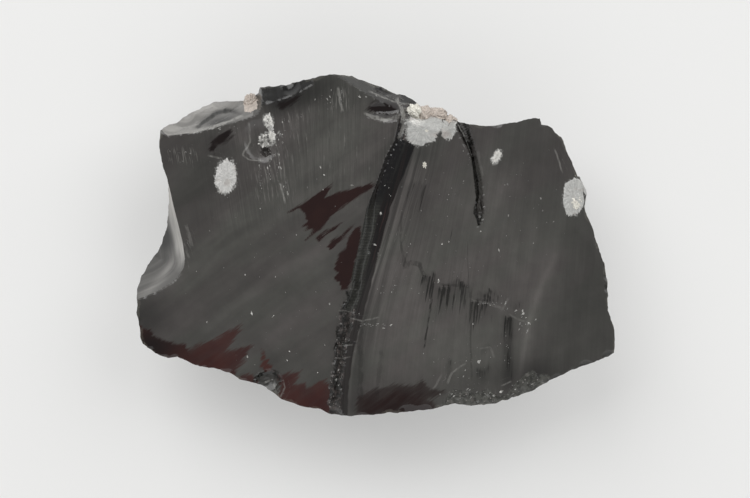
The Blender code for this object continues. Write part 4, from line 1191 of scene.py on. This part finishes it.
def flush_disc(place_x, place_y, half_width, half_height, turn, teeth, bite, seed):
    """A toothed disc laid on the front: the rings run from its middle to a toothed edge, its top swells
    by (1 - ring squared), and its last ring is tucked into the glass."""
    draw = np.random.default_rng(seed)
    angle = np.arange(FLAKE_COLUMNS) * 2 * np.pi / FLAKE_COLUMNS
    ring = np.append(np.arange(1, FLAKE_RINGS) / (FLAKE_RINGS - 1), 1.0)[:, None]
    wander = angle + 0.20 * np.sin(3 * angle + draw.uniform(0, 6))
    wander = wander + 0.10 * np.sin(5 * angle + draw.uniform(0, 6))
    phase = (wander * teeth / (2 * np.pi)) % 1.0
    tooth = np.abs(2.0 * phase - 1.0) ** 0.8 * (0.7 + 0.5 * np.sin(7 * angle + draw.uniform(0, 6)))
    edge = 1.0 + 0.05 * np.sin(4 * angle + draw.uniform(0, 6)) + bite * (tooth - 0.5)
    squarish = np.abs(np.cos(angle)) ** SQUARENESS + np.abs(np.sin(angle)) ** SQUARENESS
    edge = edge / squarish ** (1 / SQUARENESS)
    spread = ring * (1.0 - (1.0 - edge)[None, :] * ring)
    along, across = half_width * spread * np.cos(angle), half_height * spread * np.sin(angle)
    slant = math.radians(turn)
    flake_x = place_x + along * math.cos(slant) - across * math.sin(slant)
    flake_y = place_y + along * math.sin(slant) + across * math.cos(slant)
    needles = waves(14.0 * np.cos(angle)[None, :] + 0.6 * ring,
                    14.0 * np.sin(angle)[None, :] + 2.0 * ring, 2.2, seed)
    swell = 0.05 + 0.07 * (1.0 - ring ** 2) + 0.022 * needles * np.minimum(ring * 3.0, 1.0)
    swell[-2], swell[-1] = EDGE_LIFT, -EDGE_TUCK
    flake_z = fine_front(flake_x, flake_y) + swell
    middle_z = float(fine_front(np.array([place_x]), np.array([place_y]))[0])
    points = np.concatenate([[[place_x, place_y, middle_z + 0.12]],
                             np.stack([flake_x, flake_y, flake_z], axis=-1).reshape(-1, 3),
                             [[place_x, place_y, middle_z - 0.5]]])
    round_it = [0 * ring + np.cos(angle), 0 * ring + np.sin(angle), ring + 0 * angle]
    with_poles = np.stack([np.concatenate([[0.0], part.ravel(), [0.0]]) for part in round_it], axis=-1)
    return points, with_poles * (9.0, 9.0, 2.4) + (seed, 0.0, 0.0)


def rim_lump(place_x, place_y, drop, radii, rough, seed):
    """A sugary lump: a ball of three radii whose surface is pushed in and out by soft waves."""
    polar = (np.arange(1, FLAKE_RINGS + 1) / (FLAKE_RINGS + 1) * np.pi)[:, None]
    angle = np.arange(FLAKE_COLUMNS)[None, :] * 2 * np.pi / FLAKE_COLUMNS
    out = np.stack([np.sin(polar) * np.cos(angle), np.sin(polar) * np.sin(angle),
                    np.cos(polar) + 0 * angle], axis=-1).reshape(-1, 3)
    out = np.concatenate([[[0.0, 0.0, 1.0]], out, [[0.0, 0.0, -1.0]]])
    bumps = waves(3.0 * out[:, 0] + 2.0 * out[:, 2], 3.0 * out[:, 1] - 1.5 * out[:, 2], 1.6, seed)
    bumps = bumps + 0.6 * waves(5.0 * out[:, 0], 5.0 * out[:, 1] + 4.0 * out[:, 2], 1.1, seed + 1)
    level = float(front_height(np.array([place_x]), np.array([place_y]))[0])
    centre = np.array([place_x, place_y, level + drop])
    return centre + out * np.array(radii) * (1.0 + rough * bumps)[:, None], out * 6.0 + seed


def join_pieces(name, parts):
    """One object from many parts, each its points and the faces between them."""
    points, face_sets, start = [], [], 0
    for part_points, part_faces in parts:
        points.append(part_points)
        face_sets.extend(faces + start for faces in part_faces)
        start += len(part_points)
    return add_mesh(name, np.concatenate(points), face_sets)


flake_parts, flake_needles, flake_tints = [], [], []


def add_flake(made, tint):
    """Keep one snowflake's points, faces, needle places and colour for the joined piece."""
    points, needle_place = made
    flake_parts.append((points, ring_faces(FLAKE_RINGS, FLAKE_COLUMNS)))
    flake_needles.append(needle_place)
    flake_tints.append(np.tile(tint, (len(points), 1)))


for number, (*disc, tint) in enumerate(FLUSH_FLAKES):
    add_flake(flush_disc(*disc, 300 + number), tint)
for number, (*lump, tint) in enumerate(RIM_LUMPS):
    add_flake(rim_lump(*lump, 340 + 2 * number), tint)
snowflakes = join_pieces("cristobalite_snowflakes", flake_parts)
snowflakes.data.shade_smooth()
SHARP_CRYSTAL = 50.0
snowflakes.data.set_sharp_from_angle(angle=math.radians(SHARP_CRYSTAL))
add_attribute(snowflakes, "needles", np.concatenate(flake_needles))
add_attribute(snowflakes, "tint", np.concatenate(flake_tints))

sugar, tree, surface = new_material("cristobalite")
at = shader(tree, "ShaderNodeTexCoord").outputs["Object"]
needles = cloudy(tree, read_attribute(tree, "needles", "Vector"), 1.0, 4.0, 0.65)
sugar_grain = cloudy(tree, at, 3600.0, 3.0, 0.7)
stain = cloudy(tree, at, 700.0, 2.0, 0.5)
shade = times(tree, ramp(tree, needles, 0.3, 0.7, 0.8, 1.16),
              ramp(tree, sugar_grain, 0.3, 0.7, 0.84, 1.14))
tinted = scaled(tree, read_attribute(tree, "tint", "Vector"), shade)
tinted = blend_colours(tree, ramp(tree, stain, 0.56, 0.72, 0.0, 0.45), tinted, (0.3, 0.255, 0.23))
tree.links.new(tinted, surface["Base Color"])
tree.links.new(ramp(tree, sugar_grain, 0.3, 0.7, 0.45, 0.75), surface["Roughness"])
sugar_height = plus(tree, sugar_grain, times(tree, needles, 0.8))
bump = shader(tree, "ShaderNodeBump", {"Height": sugar_height, "Strength": 0.6, "Distance": 0.00008})
tree.links.new(bump.outputs[0], surface["Normal"])
snowflakes.data.materials.append(sugar)
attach(snowflakes, "root")


# ---------------------------------------------------------------------------------------------------
# Splinters and crushed grains.
# Slivers of glass, white with cracks, that stay stuck along the tears and where crystals broke out.
# Finer ones lie scattered over both faces.
# ---------------------------------------------------------------------------------------------------
# Crowds of splinters: x, y, half width, half height, how many, half length, how slender, lean.
SPLINTER_CROWDS = [
    (-14.5, 16.9, 0.55, 0.85, 16, 0.30, 1.5, 90.0), (-14.7, 14.5, 0.85, 0.85, 26, 0.34, 1.5, 80.0),
    (-13.0, 15.2, 0.8, 0.6, 16, 0.14, 1.6, 20.0), (-15.6, 9.9, 0.35, 2.6, 20, 0.11, 2.2, 96.0),
    (-14.4, 10.0, 0.25, 2.0, 14, 0.10, 2.2, 98.0), (-13.2, 10.3, 0.25, 2.4, 14, 0.12, 2.6, 100.0),
    (-12.2, 8.6, 0.25, 1.8, 8, 0.14, 3.2, 105.0), (-13.0, 13.5, 1.2, 1.8, 18, 0.11, 2.0, 95.0),
    (-6.5, 19.6, 1.6, 1.6, 12, 0.13, 3.0, 92.0), (-4.5, 19.9, 0.3, 1.5, 10, 0.17, 4.0, 94.0),
    (-26.2, 12.6, 2.2, 1.2, 14, 0.13, 2.8, 110.0), (-12.0, 17.0, 2.0, 1.5, 10, 0.12, 3.0, 100.0),
    (-12.0, 0.0, 14.0, 12.0, 60, 0.060, 1.5, 90.0), (-10.0, -12.0, 9.0, 5.5, 26, 0.07, 1.6, 90.0),
    (10.0, -1.0, 10.0, 15.0, 95, 0.065, 1.5, 85.0), (21.0, 4.0, 5.0, 9.0, 30, 0.065, 1.6, 80.0),
    (2.2, 11.0, 1.0, 4.4, 9, 0.050, 1.4, 60.0), (-13.6, 12.4, 0.9, 1.2, 14, 0.11, 1.8, 95.0),
    (15.6, -8.0, 2.0, 0.3, 20, 0.10, 2.0, -12.0), (17.9, -8.2, 0.4, 0.8, 8, 0.12, 2.0, 60.0),
    (3.0, -5.6, 2.6, 1.5, 26, 0.065, 1.4, 80.0), (12.5, -16.5, 5.0, 4.0, 40, 0.075, 1.7, 60.0),
    (14.0, -20.6, 5.0, 0.8, 34, 0.13, 2.2, 25.0), (-4.2, -12.0, 0.6, 4.0, 18, 0.08, 1.5, 30.0),
    (-4.9, -17.6, 0.7, 3.0, 14, 0.08, 1.5, 30.0), (-0.6, -10.9, 2.0, 0.30, 16, 0.13, 2.2, 0.0),
    (4.2, 16.4, 0.8, 2.2, 30, 0.14, 1.5, 60.0), (-19.9, 16.2, 3.6, 0.8, 18, 0.12, 2.0, 20.0),
    (1.6, 20.2, 3.6, 0.35, 14, 0.11, 1.6, -28.0), (20.5, -10.4, 1.6, 1.6, 22, 0.13, 1.8, 60.0),
    (18.0, -14.5, 0.7, 3.6, 16, 0.07, 1.8, 90.0), (21.0, -19.4, 3.0, 0.8, 16, 0.13, 2.0, 25.0),
    (-14.0, -19.6, 1.7, 1.1, 8, 0.09, 2.0, 30.0),
]

# Single larger ones: x, y, half length, half width, lean.
SINGLE_SPLINTERS = [
    (0.0, 0.1, 0.38, 0.14, -35.0), (-3.1, 8.2, 0.24, 0.17, -20.0), (-6.9, 9.65, 0.20, 0.12, -50.0),
    (-11.9, 7.1, 0.42, 0.10, 102.0), (-12.8, 10.5, 0.32, 0.10, 98.0), (-7.4, 10.7, 0.30, 0.09, 105.0),
    (-16.9, -9.4, 0.36, 0.16, 102.0), (-17.5, -15.3, 0.30, 0.15, 82.0),
    (-23.1, -10.6, 0.16, 0.12, 60.0), (-7.8, -17.5, 0.13, 0.10, 0.0), (-6.8, -13.7, 0.14, 0.10, -40.0),
    (-13.9, -9.75, 0.42, 0.07, 42.0), (-11.7, -14.6, 0.15, 0.11, -50.0),
    (-12.0, -15.8, 0.17, 0.10, -60.0), (17.4, -20.1, 0.50, 0.20, 15.0), (9.2, 0.2, 0.22, 0.13, 60.0),
    (8.7, -4.9, 0.28, 0.17, 80.0), (19.4, -9.0, 0.24, 0.13, 30.0), (20.3, -9.0, 0.30, 0.18, 70.0),
    (21.2, -10.7, 0.34, 0.20, -50.0), (17.0, -0.6, 0.34, 0.10, 100.0), (22.7, 6.4, 0.26, 0.12, 90.0),
    (18.3, 4.1, 0.25, 0.10, 75.0), (1.2, -11.3, 0.30, 0.14, -10.0), (2.2, -10.9, 0.26, 0.16, 20.0),
    (14.5, 1.9, 0.16, 0.12, 0.0), (12.1, 8.7, 0.14, 0.10, 40.0),
]


def splinter_mesh(places, draw):
    """Splinters as squashed eight-sided grains: a front and a back tip, four uneven corners between,
    turned in plan and tipped at random, for an array of x, y, half length, half width and lean."""
    corners = np.array([
        [1.0, 0.0, 0.0], [-1.0, 0.0, 0.0], [0.1, 1.0, 0.0], [-0.1, -1.0, 0.0], [0.15, 0.0, 1.0],
        [0.0, 0.1, -1.0]])
    count = len(places)
    grain_points = corners[None, :, :] * draw.uniform(0.72, 1.25, (count, 6, 1))
    size = np.stack([places[:, 2], places[:, 3], 0.55 * places[:, 3]], axis=-1)
    grain_points = grain_points * size[:, None, :]
    lean = np.radians(places[:, 4])[:, None]
    east = grain_points[..., 0] * np.cos(lean) - grain_points[..., 1] * np.sin(lean)
    north = grain_points[..., 0] * np.sin(lean) + grain_points[..., 1] * np.cos(lean)
    tip = draw.uniform(-0.25, 0.25, (count, 2))
    up = grain_points[..., 2] + tip[:, :1] * east + tip[:, 1:] * north
    level = fine_front(places[:, 0], places[:, 1])[:, None]
    points = np.stack([places[:, :1] + east, places[:, 1:2] + north, level + up], axis=-1)
    faces = np.array([[0, 2, 4], [2, 1, 4], [1, 3, 4], [3, 0, 4],
                      [2, 0, 5], [1, 2, 5], [3, 1, 5], [0, 3, 5]])
    faces = faces[None, :, :] + len(corners) * np.arange(count)[:, None, None]
    return points.reshape(-1, 3), faces.reshape(-1, 3)


draw = np.random.default_rng(81)
places = [[single + (1.0,) for single in SINGLE_SPLINTERS]]
for sx, sy, half_width, half_height, count, length, slender, lean in SPLINTER_CROWDS:
    spot = draw.normal(0.0, 0.5, (count, 2)).clip(-1.0, 1.0) * (half_width, half_height) + (sx, sy)
    size = length * draw.lognormal(0.0, 0.50, count)
    whiteness = draw.uniform(0.10, 0.85, count) ** 1.5
    places.append(np.column_stack([spot, size, size / slender, lean + draw.normal(0.0, 14.0, count),
                                   whiteness]))
places = np.concatenate(places)
inside_rim = depth_inside(places[:, 0], places[:, 1], [tuple(point) for point in OUTLINE]) > 0.35
places = places[inside_rim]
splinter_points, splinter_faces = splinter_mesh(places, draw)
splinters = add_mesh("glass_splinters", splinter_points, [splinter_faces])
add_attribute(splinters, "whiteness", np.repeat(places[:, 5], 6))

chalky, tree, surface = new_material("crushed_white_glass")
at = shader(tree, "ShaderNodeTexCoord").outputs["Object"]
frost = cloudy(tree, at, 2600.0, 2.0, 0.6)
cracked = blend_colours(tree, ramp(tree, frost, 0.35, 0.65), (0.16, 0.157, 0.145), (0.6, 0.59, 0.56))
whitened = maths(tree, "MULTIPLY_ADD", read_attribute(tree, "whiteness"), 0.85, 0.15)
tree.links.new(scaled(tree, cracked, whitened), surface["Base Color"])
tree.links.new(ramp(tree, frost, 0.3, 0.7, 0.25, 0.6), surface["Roughness"])
splinters.data.materials.append(chalky)
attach(splinters, "root")


# ---------------------------------------------------------------------------------------------------
# The studio.
# A plain pale floor and soft light: broad panels round the stone, and a dimmer zone overhead, where
# the camera hangs, which is what the flat faces mirror.
# ---------------------------------------------------------------------------------------------------
FLOOR_REACH = 2000.0
corners = np.array([[-1.0, -1.0, 0.0], [1.0, -1.0, 0.0], [1.0, 1.0, 0.0], [-1.0, 1.0, 0.0]])
floor = add_mesh("floor", FLOOR_REACH * corners, [np.array([[0, 1, 2, 3]])])
paper, _, surface = new_material("pale_paper")
for socket, value in {"Base Color": (0.52, 0.52, 0.515, 1.0), "Emission Color": (1.0, 1.0, 0.99, 1.0),
                      "Emission Strength": 0.29, "Roughness": 0.9, "Specular IOR Level": 0.1}.items():
    surface[socket].default_value = value
floor.data.materials.append(paper)

# How bright the walls are overhead and level with the stone.
OVERHEAD, LEVEL_WITH_STONE = 0.30, 0.95
world = bpy.data.worlds.new("studio_walls")
world.use_nodes = True
sky = world.node_tree
direction = shader(sky, "ShaderNodeSeparateXYZ",
                   {0: shader(sky, "ShaderNodeTexCoord").outputs["Generated"]})
level = ramp(sky, direction.outputs["Z"], 0.02, 0.30, LEVEL_WITH_STONE, OVERHEAD)
sky.links.new(level, sky.nodes["Background"].inputs["Strength"])
sky.nodes["Background"].inputs["Color"].default_value = (1.0, 1.0, 0.995, 1.0)
bpy.context.scene.world = world


def soft_panel(name, place, size, watts):
    """A square panel light that faces the stone."""
    lamp = bpy.data.lights.new(name, "AREA")
    lamp.size = size
    lamp.energy = watts
    panel = bpy.data.objects.new(name, lamp)
    panel.location = place
    panel.rotation_euler = (-mathutils.Vector(place)).to_track_quat("-Z", "Y").to_euler()
    bpy.context.scene.collection.objects.link(panel)


soft_panel("panel_upper_left", (-0.44, 0.66, 0.86), 0.95, 8.8)
soft_panel("panel_upper_right", (0.72, 0.52, 0.80), 0.95, 6.0)
soft_panel("panel_near", (0.10, -1.00, 0.78), 1.40, 4.6)

# A long lens hung straight above the stone, in metres.
CAMERA_PLACE = (0.00007, -0.00052, 0.3025)
camera = bpy.data.cameras.new("overhead_camera")
camera.lens = 100.0
camera.sensor_width = 36.0
camera.clip_start = 0.01
hung = bpy.data.objects.new("overhead_camera", camera)
hung.location = CAMERA_PLACE
bpy.context.scene.collection.objects.link(hung)
bpy.context.scene.camera = hung
bpy.context.scene.view_settings.view_transform = "Standard"
